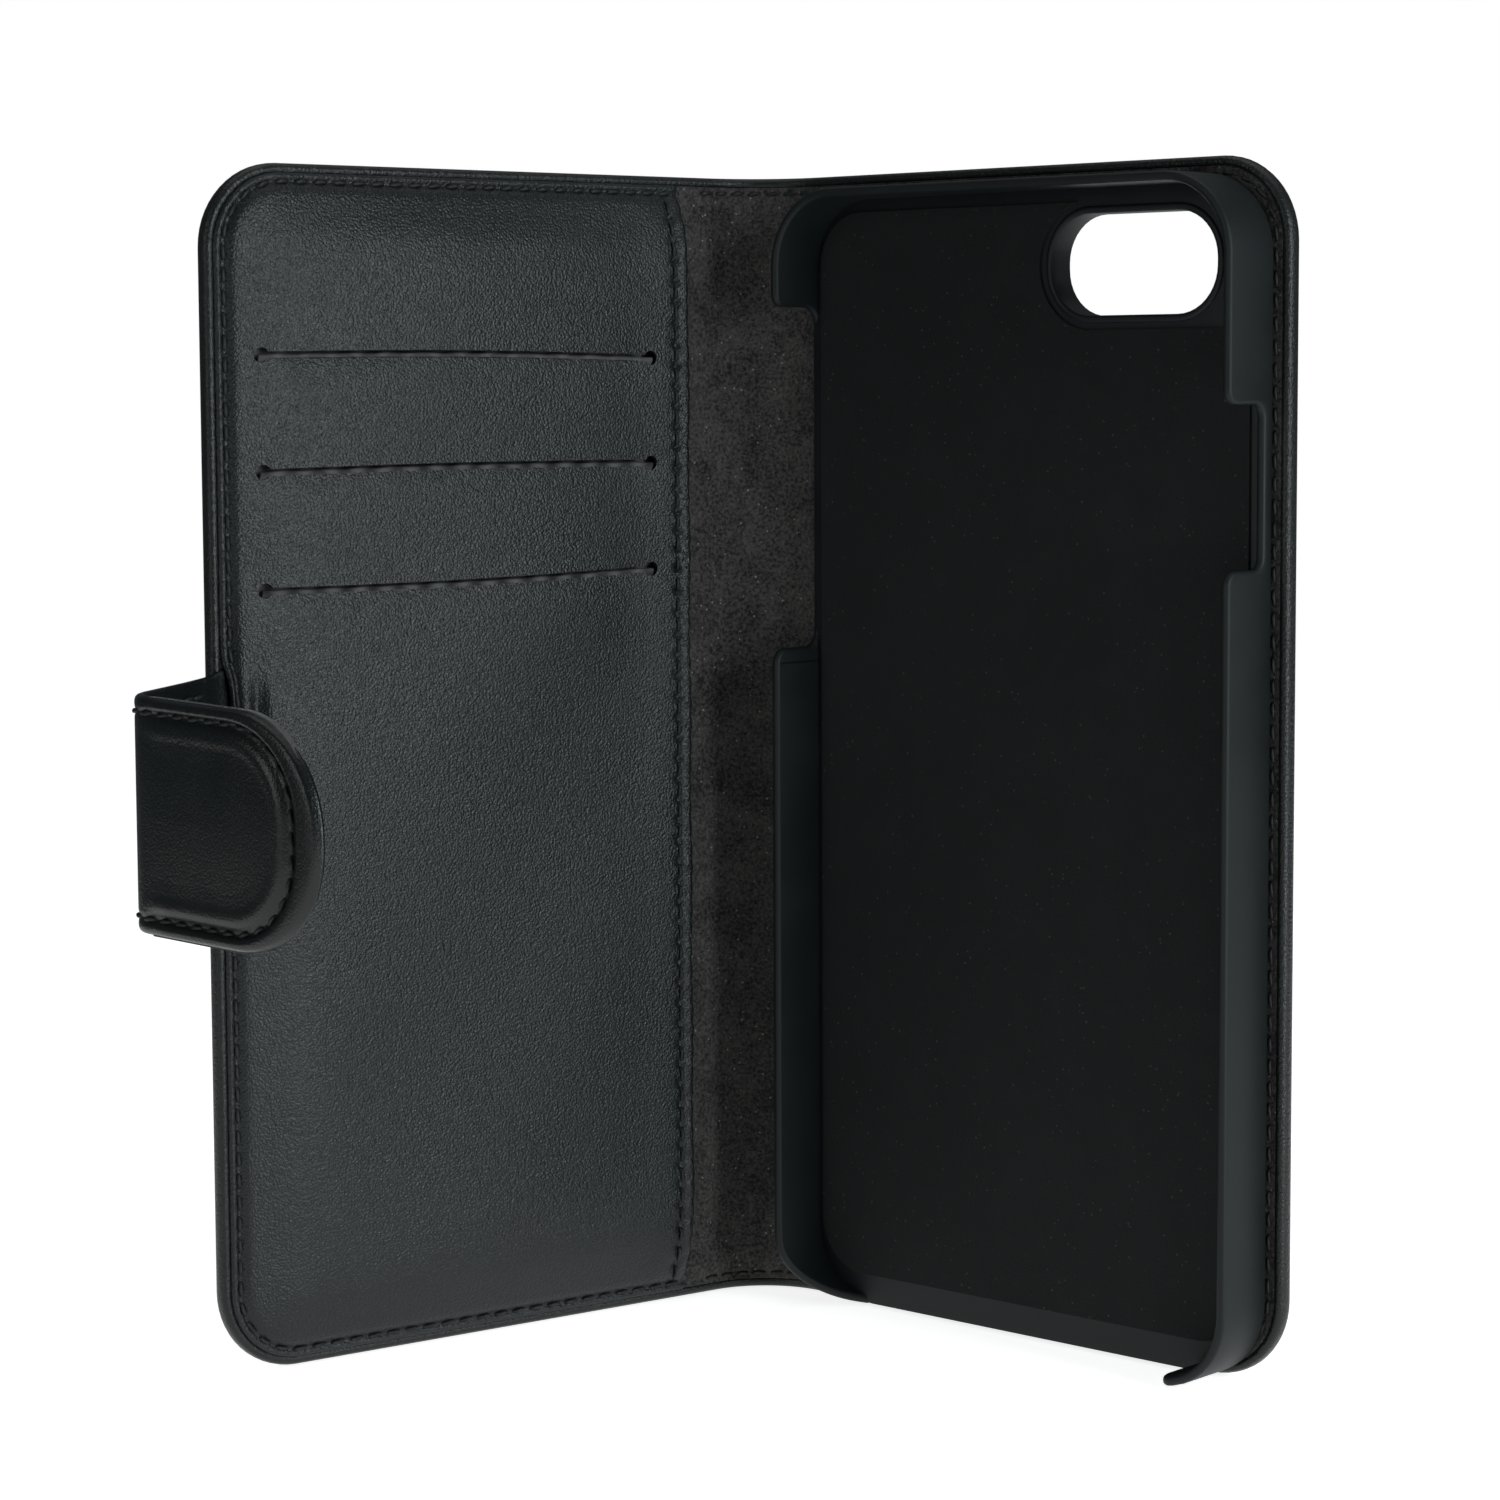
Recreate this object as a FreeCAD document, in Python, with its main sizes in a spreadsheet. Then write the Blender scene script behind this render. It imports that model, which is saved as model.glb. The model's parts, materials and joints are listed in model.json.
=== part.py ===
import FreeCAD, Part
import os, math

# Book-style phone wallet case, standing upright and half open.
#
# Every cover piece is drawn in the flat pattern: X runs along the cover from its own
# fold line, Z runs up the case, and the stack of layers is built along Y.
# "level" is the height in the stack, positive towards the inside of the case, so Y = -level.
# Level 0 is the inner face of the lining.  The fold lines lie in the middle of the
# two-layer leather of the spine, at level -(cover_thick - hinge_thick / 2).

V = FreeCAD.Vector
doc = FreeCAD.newDocument("phone_wallet_case")

# ------------------------------------------------------------------ driving dimensions
dims = [
    # the case as a whole
    ("fold_angle", 39.3), ("spine_chord", 14.4), ("cover_width", 72.4), ("cover_height", 143.0),
    ("corner_radius", 10.0), ("skin_thick", 0.8), ("board_thick", 0.8), ("lining_thick", 0.6),
    ("rim_width", 1.1), ("hinge_gap", 0.75), ("cover_start", 0.95), ("board_start", 3.0),
    ("step_start", 2.2), ("fit_gap", 0.1),
    # the moulded phone tray
    ("phone_width", 67.3), ("phone_height", 138.4), ("phone_thick", 7.3), ("wall_thick", 1.15),
    ("tray_start", 0.95), ("tray_low", 0.1), ("tray_floor", 1.0), ("tray_depth", 8.0),
    ("glue_thick", 0.2), ("tray_corner", 9.5), ("liner_thick", 0.4),
    ("left_gap_low", 84.0), ("left_gap_high", 126.6), ("right_gap_low", 95.6), ("right_gap_high", 114.4),
    ("right_sill", 2.2), ("port_from", 10.5), ("port_to", 63.0),
    ("window_from", 39.2), ("window_to", 63.2), ("window_low", 124.9), ("window_high", 136.9),
    # the card panel
    ("panel_start", 5.2), ("panel_thick", 0.75), ("pocket_room", 1.1), ("slit_from", 11.4),
    ("slit_to", 66.2), ("slit_open", 0.9), ("slit_eye", 0.95),
    ("slit_top", 120.5), ("slit_mid", 107.2), ("slit_low", 93.7), ("seam_width", 3.6),
    # the closing strap
    ("strap_width", 27.1), ("strap_level", 69.7), ("strap_out", 73.9), ("strap_lift", 0.5),
    ("strap_layer", 0.7), ("neck_length", 14.6), ("tab_length", 30.4), ("tab_core", 0.8),
    ("tab_radius", 13.0), ("strap_root_turn", 30.0), ("strap_tip_turn", 74.5), ("strap_droop", 2.7),
    # thread
    ("stitch_pitch", 2.6), ("stitch_length", 1.9), ("stitch_width", 0.5), ("stitch_height", 0.18),
    # where the two fold lines stand, so that the origin is under the middle of the case
    ("origin_x", 2.438677), ("origin_y", 40.077037),
]
sheet = doc.addObject("Spreadsheet::Sheet", "Dims")
for i, (alias, value) in enumerate(dims):
    sheet.set("A%d" % (i + 1), alias)
    sheet.set("B%d" % (i + 1), str(value))
    sheet.setAlias("B%d" % (i + 1), alias)
doc.recompute()


def d(alias):
    return float(getattr(sheet, alias))


def refs(text):
    """Turn the bare alias names of an expression into sheet references, one word at a time."""
    words, word = [], ""
    for ch in text + " ":
        if ch.isalnum() or ch == "_":
            word += ch
        else:
            if word:
                words.append("Dims." + word if any(word == a for a, _ in dims) else word)
                word = ""
            words.append(ch)
    return "".join(words).strip()


def num(text):
    """The number that an expression of the sheet comes to, for starting positions."""
    total, sign, product, word = 0.0, 1.0, None, ""
    op = "*"
    for ch in text.replace(" ", "") + "+":
        if ch.isalnum() or ch in "_.":
            word += ch
            continue
        value = d(word) if any(word == a for a, _ in dims) else float(word or 0)
        if product is None:
            product = value
        elif op == "*":
            product *= value
        else:
            product /= value
        word = ""
        if ch in "*/":
            op = ch
        else:
            total += sign * product
            product, op = None, "*"
            sign = 1.0 if ch == "+" else -1.0
    return total


nodes = []          # (object, node name)


def new_body(label):
    body = doc.addObject("PartDesign::Body", label)
    body.Label = label
    nodes.append((body, label))
    return body


def flat_plane(body):
    for feature in body.Origin.OriginFeatures:
        if feature.Role == "XZ_Plane":
            return feature
    raise RuntimeError("no XZ plane in " + body.Label)


def new_sketch(body, name, level):
    """A sketch in the flat pattern.  Its normal points to the inside of the case."""
    sk = body.newObject("Sketcher::SketchObject", name)
    sk.AttachmentSupport = [(flat_plane(body), "")]
    sk.MapMode = "FlatFace"
    sk.setExpression("AttachmentOffset.Base.z", refs(level))
    return sk


def rectangle(body, name, side, x0, x1, z0, z1, level):
    """x0..x1 measured out from the fold line, on side +1 (back) or -1 (front)."""
    from_x, to_x, low, high = num(x0), num(x1), num(z0), num(z1)
    left, right = (from_x, to_x) if side > 0 else (-to_x, -from_x)
    sk = new_sketch(body, name, level)
    pts = [V(left, low, 0), V(right, low, 0), V(right, high, 0), V(left, high, 0)]
    for i in range(4):
        sk.addGeometry(Part.LineSegment(pts[i], pts[(i + 1) % 4]), False)
    import Sketcher
    for i in range(4):
        sk.addConstraint(Sketcher.Constraint("Coincident", i, 2, (i + 1) % 4, 1))
    sk.addConstraint([Sketcher.Constraint("Horizontal", 0), Sketcher.Constraint("Horizontal", 2),
                      Sketcher.Constraint("Vertical", 1), Sketcher.Constraint("Vertical", 3)])
    near = (0, 1) if side > 0 else (0, 2)          # the corner nearer to the fold line
    def spaced(kind, a, b, value, text):
        c = sk.addConstraint(Sketcher.Constraint(kind, a[0], a[1], b[0], b[1], value))
        sk.setExpression("Constraints[%d]" % c, refs(text))
    if side > 0:
        spaced("DistanceX", (-1, 1), near, left, x0)
    else:
        spaced("DistanceX", near, (-1, 1), -right, x0)
    spaced("DistanceX", (0, 1), (0, 2), right - left, "(%s)-(%s)" % (x1, x0))
    if abs(low) > 1e-6:
        spaced("DistanceY", (-1, 1), (0, 1), low, z0)
    else:
        sk.addConstraint(Sketcher.Constraint("PointOnObject", 0, 1, -1))
    spaced("DistanceY", (1, 1), (1, 2), high - low, "(%s)-(%s)" % (z1, z0))
    return sk


def rounded_outline(body, name, side, x0, x1, z0, z1, level, radius, every_corner=False):
    """A rectangle with round corners: the two away from the fold line, or all four."""
    import Sketcher
    from_x, to_x, low, high, r = num(x0), num(x1), num(z0), num(z1), num(radius)
    left, right = (from_x, to_x) if side > 0 else (-to_x, -from_x)
    sk = new_sketch(body, name, level)
    corners = [(left, low), (right, low), (right, high), (left, high)]
    far = (1, 2) if side > 0 else (0, 3)
    is_round = [every_corner or i in far for i in range(4)]
    unit = [(1, 0), (0, 1), (-1, 0), (0, -1)]            # bottom, right, top and left edge directions
    line_of, arc_of = {}, {}
    for i in range(4):
        a, b, u = corners[i], corners[(i + 1) % 4], unit[i]
        ra, rb = (r if is_round[i] else 0.0), (r if is_round[(i + 1) % 4] else 0.0)
        line_of[i] = sk.addGeometry(Part.LineSegment(V(a[0] + u[0] * ra, a[1] + u[1] * ra, 0),
                                                     V(b[0] - u[0] * rb, b[1] - u[1] * rb, 0)), False)
        if rb:
            start = math.atan2(-unit[(i + 1) % 4][1], -unit[(i + 1) % 4][0])
            cx, cz = b[0] - u[0] * r + unit[(i + 1) % 4][0] * r, b[1] - u[1] * r + unit[(i + 1) % 4][1] * r
            arc_of[(i + 1) % 4] = sk.addGeometry(
                Part.ArcOfCircle(Part.Circle(V(cx, cz, 0), V(0, 0, 1), r), start, start + math.pi / 2), False)
    for i in range(4):
        k = (i + 1) % 4
        if k in arc_of:
            sk.addConstraint(Sketcher.Constraint("Tangent", line_of[i], 2, arc_of[k], 1))
            sk.addConstraint(Sketcher.Constraint("Tangent", arc_of[k], 2, line_of[k], 1))
        else:
            sk.addConstraint(Sketcher.Constraint("Coincident", line_of[i], 2, line_of[k], 1))
    sk.addConstraint([Sketcher.Constraint("Horizontal", line_of[0]), Sketcher.Constraint("Vertical", line_of[1])])
    if not every_corner:
        sk.addConstraint([Sketcher.Constraint("Horizontal", line_of[2]),
                          Sketcher.Constraint("Vertical", line_of[3])])
    arcs = sorted(arc_of.values())
    for other in arcs[1:]:
        sk.addConstraint(Sketcher.Constraint("Equal", arcs[0], other))

    def spaced(kind, args, value, text):
        c = sk.addConstraint(Sketcher.Constraint(kind, *(args + (value,))))
        sk.setExpression("Constraints[%d]" % c, refs(text))
    spaced("Radius", (arcs[0],), r, radius)
    lft, rgt, btm, tp = line_of[3], line_of[1], line_of[0], line_of[2]
    if side > 0:
        if abs(left) > 1e-6:
            spaced("DistanceX", (-1, 1, lft, 1), left, x0)
        else:
            sk.addConstraint(Sketcher.Constraint("PointOnObject", lft, 1, -2))
    else:
        spaced("DistanceX", (rgt, 1, -1, 1), -right, x0)
    spaced("DistanceX", (lft, 1, rgt, 1), right - left, "(%s)-(%s)" % (x1, x0))
    if abs(low) > 1e-6:
        spaced("DistanceY", (-1, 1, btm, 1), low, z0)
    else:
        sk.addConstraint(Sketcher.Constraint("PointOnObject", btm, 1, -1))
    spaced("DistanceY", (btm, 1, tp, 1), high - low, "(%s)-(%s)" % (z1, z0))
    return sk


def pad(body, name, sk, length):
    feature = body.newObject("PartDesign::Pad", name)
    feature.Profile = sk
    feature.setExpression("Length", refs(length))
    doc.recompute()
    return feature


def pocket(body, name, sk, length):
    """Cut from the sketch's level towards the inside of the case."""
    before = body.Shape.Volume
    feature = body.newObject("PartDesign::Pocket", name)
    feature.Profile = sk
    feature.setExpression("Length", refs(length))
    feature.Reversed = True
    doc.recompute()
    if not body.Shape.Volume < before - 1e-6:
        feature.Reversed = False
        doc.recompute()
    if not body.Shape.Volume < before - 1e-6:
        raise RuntimeError("pocket %s of %s cuts nothing" % (name, body.Label))
    return feature


def corner_edges(feature, corners, tol=0.05):
    """The edges square to the flat pattern at the given (x, z) corners."""
    found = []
    for i, edge in enumerate(feature.Shape.Edges):
        if len(edge.Vertexes) != 2:
            continue
        a, b = edge.Vertexes[0].Point, edge.Vertexes[1].Point
        if abs(a.x - b.x) > 1e-5 or abs(a.z - b.z) > 1e-5:
            continue
        for (x, z) in corners:
            if abs(a.x - x) < tol and abs(a.z - z) < tol:
                found.append("Edge%d" % (i + 1))
    return found


def fillet(body, name, feature, corners, radius):
    edges = corner_edges(feature, corners)
    if not edges:
        raise RuntimeError("no edges for %s of %s" % (name, body.Label))
    f = body.newObject("PartDesign::Fillet", name)
    f.Base = (feature, edges)
    f.setExpression("Radius", refs(radius))
    doc.recompute()
    return f


def window_sketch(body, name, level, grow="0"):
    """The lens window: a slot with two half-round ends."""
    import Sketcher
    g = num(grow)
    r = (d("window_high") - d("window_low")) / 2 + g
    zc = (d("window_high") + d("window_low")) / 2
    xa, xb = d("window_from") - g + r, d("window_to") + g - r
    sk = new_sketch(body, name, level)
    sk.addGeometry(Part.ArcOfCircle(Part.Circle(V(xa, zc, 0), V(0, 0, 1), r), math.pi / 2, 3 * math.pi / 2), False)
    sk.addGeometry(Part.LineSegment(V(xa, zc - r, 0), V(xb, zc - r, 0)), False)
    sk.addGeometry(Part.ArcOfCircle(Part.Circle(V(xb, zc, 0), V(0, 0, 1), r), -math.pi / 2, math.pi / 2), False)
    sk.addGeometry(Part.LineSegment(V(xb, zc + r, 0), V(xa, zc + r, 0)), False)
    sk.addConstraint([Sketcher.Constraint("Tangent", 0, 2, 1, 1), Sketcher.Constraint("Tangent", 1, 2, 2, 1),
                      Sketcher.Constraint("Tangent", 2, 2, 3, 1), Sketcher.Constraint("Tangent", 3, 2, 0, 1),
                      Sketcher.Constraint("Horizontal", 1)])
    half = "(window_high-window_low)/2"
    for kind, args, value, text in (
            ("Radius", (0,), r, "%s+%s" % (half, grow)),
            ("DistanceX", (-1, 1, 0, 3), xa, "window_from+%s" % half),
            ("DistanceX", (-1, 1, 2, 3), xb, "window_to-%s" % half),
            ("DistanceY", (-1, 1, 0, 3), zc, "(window_high+window_low)/2")):
        c = sk.addConstraint(Sketcher.Constraint(kind, *(args + (value,))))
        sk.setExpression("Constraints[%d]" % c, refs(text))
    return sk


def cut_window(body, grow="0"):
    sk = window_sketch(body, "WindowSketch", "0-skin_thick-board_thick-lining_thick-1", grow)
    return pocket(body, "LensWindow", sk, "skin_thick+board_thick+lining_thick+6")


# ------------------------------------------------------------------ placements
def turn(angle):
    return FreeCAD.Rotation(V(0, 0, 1), angle)


hinge_level = -(d("skin_thick") + d("board_thick") + d("lining_thick")) + (d("skin_thick") + d("lining_thick")) / 2


def cover_place(side):
    rot = turn(-side * d("fold_angle"))
    hinge = V(side * d("spine_chord") / 2 + d("origin_x"), d("origin_y"), 0)
    return FreeCAD.Placement(hinge - rot.multVec(V(0, -hinge_level, 0)), rot)


BACK, FRONT = cover_place(1), cover_place(-1)
SPINE = FreeCAD.Placement(V(d("origin_x"), d("origin_y") + hinge_level, 0), turn(0))
root_at = FRONT.multVec(V(-d("strap_out"), -d("strap_lift"), d("strap_level")))
NECK = FreeCAD.Placement(root_at, turn(d("fold_angle") + d("strap_root_turn")))
drop = math.tan(math.radians(d("strap_droop")))
tip_at = NECK.multVec(V(-d("neck_length"), 0, -d("neck_length") * drop))
TAB = FreeCAD.Placement(tip_at, turn(d("fold_angle") + d("strap_root_turn") + d("strap_tip_turn")))

OUTER = "0-skin_thick-board_thick-lining_thick"          # level of the outer face of a cover
BOARD = "0-board_thick-lining_thick"


# ------------------------------------------------------------------ pieces common to both covers
def cover_skin(label, side, place):
    """Outer leather: a sheet whose edges are turned over the board on three sides."""
    body = new_body(label)
    pad(body, "Sheet", rounded_outline(body, "SheetSketch", side, "cover_start", "cover_width", "0", "cover_height",
                                       OUTER, "corner_radius"), "skin_thick+board_thick+lining_thick")
    pocket(body, "TurnedEdge",
           rounded_outline(body, "TurnedEdgeSketch", side, "cover_start-0.5", "cover_width-rim_width", "rim_width",
                           "cover_height-rim_width", BOARD, "corner_radius-rim_width"),
           "board_thick+lining_thick+0.5")
    body.Placement = place
    return body


def cover_board(label, side, place):
    body = new_body(label)
    pad(body, "Card", rounded_outline(body, "CardSketch", side, "board_start", "cover_width-rim_width-2*fit_gap",
                                      "rim_width+2*fit_gap", "cover_height-rim_width-2*fit_gap", BOARD,
                                      "corner_radius-rim_width-2*fit_gap"), "board_thick")
    body.Placement = place
    return body


def cover_lining(label, side, place):
    """Inner lining: flat over the board, stepped down to the leather at the fold."""
    body = new_body(label)
    edge, low, high = "cover_width-rim_width-fit_gap", "rim_width+fit_gap", "cover_height-rim_width-fit_gap"
    pad(body, "Face", rounded_outline(body, "FaceSketch", side, "step_start", edge, low, high, "0-lining_thick",
                                      "corner_radius-rim_width-fit_gap"), "lining_thick")
    pad(body, "Step", rectangle(body, "StepSketch", side, "step_start", "step_start+lining_thick", low, high, BOARD),
        "board_thick")
    pad(body, "FoldFlange", rectangle(body, "FoldSketch", side, "cover_start", "step_start+lining_thick", low, high,
                                      BOARD), "lining_thick")
    body.Placement = place
    return body


# ------------------------------------------------------------------ back cover
back_skin = cover_skin("back_outer_skin", 1, BACK)
cut_window(back_skin)
back_board = cover_board("back_board", 1, BACK)
cut_window(back_board, "2*fit_gap")
plate_x = d("strap_out") - 16.0
plate_z = d("strap_level") - (d("neck_length") + 16.0) * drop
# the board is cut away for the steel plate that the strap's magnet pulls on
plate_hole = new_sketch(back_board, "PlateHoleSketch", BOARD)
plate_hole.addGeometry(Part.Circle(V(plate_x, plate_z, 0), V(0, 0, 1), 8.2), False)
pocket(back_board, "PlateHole", plate_hole, "board_thick+0.5")
back_lining = cover_lining("back_inner_lining", 1, BACK)
cut_window(back_lining, "fit_gap")

plate = doc.addObject("Part::Cylinder", "strap_catch_plate")
plate.Label = "strap_catch_plate"
plate.Radius = 8.0
plate.setExpression("Height", refs("board_thick-2*fit_gap"))
plate.Placement = BACK.multiply(FreeCAD.Placement(V(plate_x, d("lining_thick") + d("fit_gap"), plate_z),
                                                  FreeCAD.Rotation(V(1, 0, 0), -90)))
nodes.append((plate, "strap_catch_plate"))

# ------------------------------------------------------------------ phone tray on the back cover
glue = new_body("tray_glue_sheet")
pad(glue, "Film", rectangle(glue, "FilmSketch", 1, "tray_start+3", "tray_start+phone_width+2*wall_thick-4",
                            "tray_low+4", "tray_low+phone_height-2", "0"), "glue_thick")
cut_window(glue, "1")
glue.Placement = BACK

tray = new_body("phone_tray")
tx1 = "tray_start+phone_width+2*wall_thick"
tz1 = "tray_low+phone_height+1.35+wall_thick"
block = pad(tray, "Block", rounded_outline(tray, "BlockSketch", 1, "tray_start", tx1, "tray_low", tz1, "glue_thick",
                                           "tray_corner", True), "tray_floor+tray_depth")
# the round bottom edge of the walls
skirt = [i for i, e in enumerate(block.Shape.Edges)
         if all(abs(v.Point.y + d("glue_thick")) < 1e-4 for v in e.Vertexes)]
base_round = tray.newObject("PartDesign::Fillet", "BaseRound")
base_round.Base = (block, ["Edge%d" % (i + 1) for i in skirt])
base_round.Radius = 0.9
doc.recompute()
pocket(tray, "PhoneRoom",
       rounded_outline(tray, "PhoneRoomSketch", 1, "tray_start+wall_thick", "tray_start+wall_thick+phone_width",
                       "tray_low+wall_thick", tz1 + "-wall_thick", "glue_thick+tray_floor",
                       "tray_corner-wall_thick", True), "tray_depth+1")
pocket(tray, "SideKeyGap", rectangle(tray, "SideKeySketch", 1, "tray_start-0.5", "tray_start+wall_thick+1.4",
                                     "left_gap_low", "left_gap_high", "glue_thick+tray_floor"), "tray_depth+1")
pocket(tray, "PowerKeyGap", rectangle(tray, "PowerKeySketch", 1, tx1 + "-wall_thick-0.6", tx1 + "+0.5",
                                      "right_gap_low", "right_gap_high", "glue_thick+right_sill"), "tray_depth+1")
pocket(tray, "PortGap", rectangle(tray, "PortSketch", 1, "port_from", "port_to", "tray_low-0.5",
                                  "tray_low+wall_thick+0.8", "glue_thick+tray_floor"), "tray_depth+1")
cut_window(tray)
tray.Placement = BACK

tray_liner = new_body("tray_liner")
pad(tray_liner, "Felt", rounded_outline(tray_liner, "FeltSketch", 1, "tray_start+wall_thick+0.7",
                                        "tray_start+wall_thick+phone_width-1.4", "tray_low+4.0",
                                        tz1 + "-wall_thick-1.6", "glue_thick+tray_floor", "tray_corner-3", True),
    "liner_thick")
cut_window(tray_liner, "1.7")
pocket(tray_liner, "LensNotch", rectangle(tray_liner, "LensNotchSketch", 1, "window_from+5",
                                          "tray_start+wall_thick+phone_width", "window_low-1.7",
                                          tz1, "glue_thick+tray_floor-0.1"), "liner_thick+1")
tray_liner.Placement = BACK

# ------------------------------------------------------------------ spine
spine_skin = new_body("spine_outer_skin")
pad(spine_skin, "Sheet", rectangle(spine_skin, "SheetSketch", 1, "0-spine_chord/2+hinge_gap",
                                   "spine_chord/2-hinge_gap", "0", "cover_height", OUTER), "skin_thick+lining_thick")
pocket(spine_skin, "TurnedEdge", rectangle(spine_skin, "TurnedSketch", 1, "0-spine_chord/2", "spine_chord/2",
                                           "rim_width", "cover_height-rim_width", BOARD), "lining_thick+0.5")
spine_skin.Placement = SPINE
spine_lining = new_body("spine_lining")
pad(spine_lining, "Face", rectangle(spine_lining, "FaceSketch", 1, "0-spine_chord/2+hinge_gap",
                                    "spine_chord/2-hinge_gap", "rim_width+fit_gap",
                                    "cover_height-rim_width-fit_gap", BOARD), "lining_thick")
spine_lining.Placement = SPINE

# ------------------------------------------------------------------ front cover
cover_skin("front_outer_skin", -1, FRONT)
cover_board("front_board", -1, FRONT)
cover_lining("front_inner_lining", -1, FRONT)

panel = new_body("card_panel")
px1, pz0, pz1 = "cover_width-rim_width", "rim_width", "cover_height-rim_width"
pad(panel, "Face", rounded_outline(panel, "FaceSketch", -1, "panel_start", px1, pz0, pz1, "0",
                                   "corner_radius-rim_width"), "pocket_room+panel_thick")
pocket(panel, "BillRoom", rounded_outline(panel, "BillRoomSketch", -1, "panel_start-1",
                                          "cover_width-rim_width-seam_width", "seam_width",
                                          "cover_height-seam_width", "0-0.2", "corner_radius-seam_width"),
       "pocket_room+0.2")
pocket(panel, "StrapRoom", rectangle(panel, "StrapRoomSketch", -1, "cover_width-rim_width-seam_width-0.5",
                                     "cover_width", "strap_level-strap_width/2-fit_gap",
                                     "strap_level+strap_width/2+fit_gap", "0-0.2"), "pocket_room+0.2")
for tag, at in (("Top", "slit_top"), ("Middle", "slit_mid"), ("Bottom", "slit_low")):
    pocket(panel, "Slit" + tag, rectangle(panel, "SlitSketch" + tag, -1, "slit_from", "slit_to", at + "-slit_open/2",
                                          at + "+slit_open/2", "pocket_room-0.1"), "panel_thick+0.5")
    eyes = new_sketch(panel, "EyeSketch" + tag, "pocket_room-0.1")
    for sx in (d("slit_from"), d("slit_to")):
        eyes.addGeometry(Part.Circle(V(-sx, d(at), 0), V(0, 0, 1), d("slit_eye")), False)
    pocket(panel, "Eyes" + tag, eyes, "panel_thick+0.5")
panel.Placement = FRONT

hem = new_body("card_panel_hem")
pad(hem, "Fold", rectangle(hem, "FoldSketch", -1, "panel_start", "panel_start+3.4", "seam_width+fit_gap",
                           "cover_height-seam_width-fit_gap", "0.45"), "pocket_room-0.45")
hem.Placement = FRONT

backing = new_body("pocket_backing")
pad(backing, "Cloth", rounded_outline(backing, "ClothSketch", -1, "panel_start+3.6",
                                      "cover_width-rim_width-seam_width-fit_gap", "seam_width+fit_gap",
                                      "cover_height-seam_width-fit_gap", "0.28",
                                      "corner_radius-seam_width-fit_gap"), "0.14")
backing.Placement = FRONT
for tag, at, level, low in (("top", "slit_top", "0.5", 35.0), ("middle", "slit_mid", "0.7", 21.6),
                            ("bottom", "slit_low", "0.9", 8.2)):
    cloth = new_body("card_pocket_" + tag)
    pad(cloth, "Cloth", rectangle(cloth, "ClothSketch", -1, "slit_from-1.2", "slit_to+1.2", str(low), at + "+1.4",
                                  level), "0.14")
    cloth.Placement = FRONT

# ------------------------------------------------------------------ strap
tail = new_body("strap_tail")
pad(tail, "Tail", rectangle(tail, "TailSketch", -1, "cover_width-rim_width-seam_width+0.1", "strap_out-0.9",
                            "strap_level-strap_width/2", "strap_level+strap_width/2", "0.05"), "0.9")
tail.Placement = FRONT


def strap_sheet(label, start, end, level, thick, place, radius=None):
    """One layer of the strap.  Its two long edges fall away by the strap's own droop."""
    import Sketcher
    body = new_body(label)
    sk = new_sketch(body, "Outline", level)
    t0, t1, half = num(start), num(end), d("strap_width") / 2
    pts = [V(-t1, -half - t1 * drop, 0), V(-t0, -half - t0 * drop, 0), V(-t0, half - t0 * drop, 0),
           V(-t1, half - t1 * drop, 0)]
    for i in range(4):
        sk.addGeometry(Part.LineSegment(pts[i], pts[(i + 1) % 4]), False)
    for i in range(4):
        sk.addConstraint(Sketcher.Constraint("Coincident", i, 2, (i + 1) % 4, 1))
    sk.addConstraint([Sketcher.Constraint("Vertical", 1), Sketcher.Constraint("Vertical", 3),
                      Sketcher.Constraint("Parallel", 0, 2)])
    for kind, args, value, text in (
            ("DistanceX", (1, 1, -1, 1), t0, start),
            ("DistanceX", (0, 1, 0, 2), t1 - t0, "(%s)-(%s)" % (end, start)),
            ("DistanceY", (1, 1, 1, 2), 2 * half, "strap_width"),
            ("Angle", (0,), math.radians(d("strap_droop")), "strap_droop * 1 deg"),
            ("DistanceY", (1, 1, -1, 1), half + t0 * drop, "strap_width/2+(%s)*tan(strap_droop * 1 deg)" % start)):
        c = sk.addConstraint(Sketcher.Constraint(kind, *(args + (value,))))
        sk.setExpression("Constraints[%d]" % c, refs(text))
    sheet_pad = pad(body, "Sheet", sk, thick)
    if radius:
        fillet(body, "RoundEnd", sheet_pad, [(pts[0].x, pts[0].y), (pts[3].x, pts[3].y)], radius)
    body.Placement = place
    return body


strap_sheet("strap_neck_outer", "0.9", "neck_length-1.1", "0-strap_layer", "strap_layer", NECK)
strap_sheet("strap_neck_inner", "0.9", "neck_length-1.1", "0", "strap_layer", NECK)
strap_sheet("strap_tab_outer", "1.2", "tab_length", "0-strap_layer-tab_core/2", "strap_layer", TAB, "tab_radius")
strap_sheet("strap_tab_inner", "1.2", "tab_length", "tab_core/2", "strap_layer", TAB, "tab_radius")

foam = strap_sheet("strap_tab_filler", "3.0", "tab_length-1.8", "0-tab_core/2", "tab_core", TAB, "tab_radius-2")
magnet_x, magnet_z = -16.0, -16.0 * drop
hole = new_sketch(foam, "MagnetHoleSketch", "0-tab_core/2")
hole.addGeometry(Part.Circle(V(magnet_x, magnet_z, 0), V(0, 0, 1), 5.2), False)
pocket(foam, "MagnetHole", hole, "tab_core+0.5")
magnet = doc.addObject("Part::Cylinder", "strap_magnet")
magnet.Label = "strap_magnet"
magnet.Radius = 5.0
magnet.setExpression("Height", refs("tab_core"))
magnet.Placement = TAB.multiply(FreeCAD.Placement(V(magnet_x, -d("tab_core") / 2, magnet_z),
                                                  FreeCAD.Rotation(V(1, 0, 0), -90)))
nodes.append((magnet, "strap_magnet"))


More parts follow.
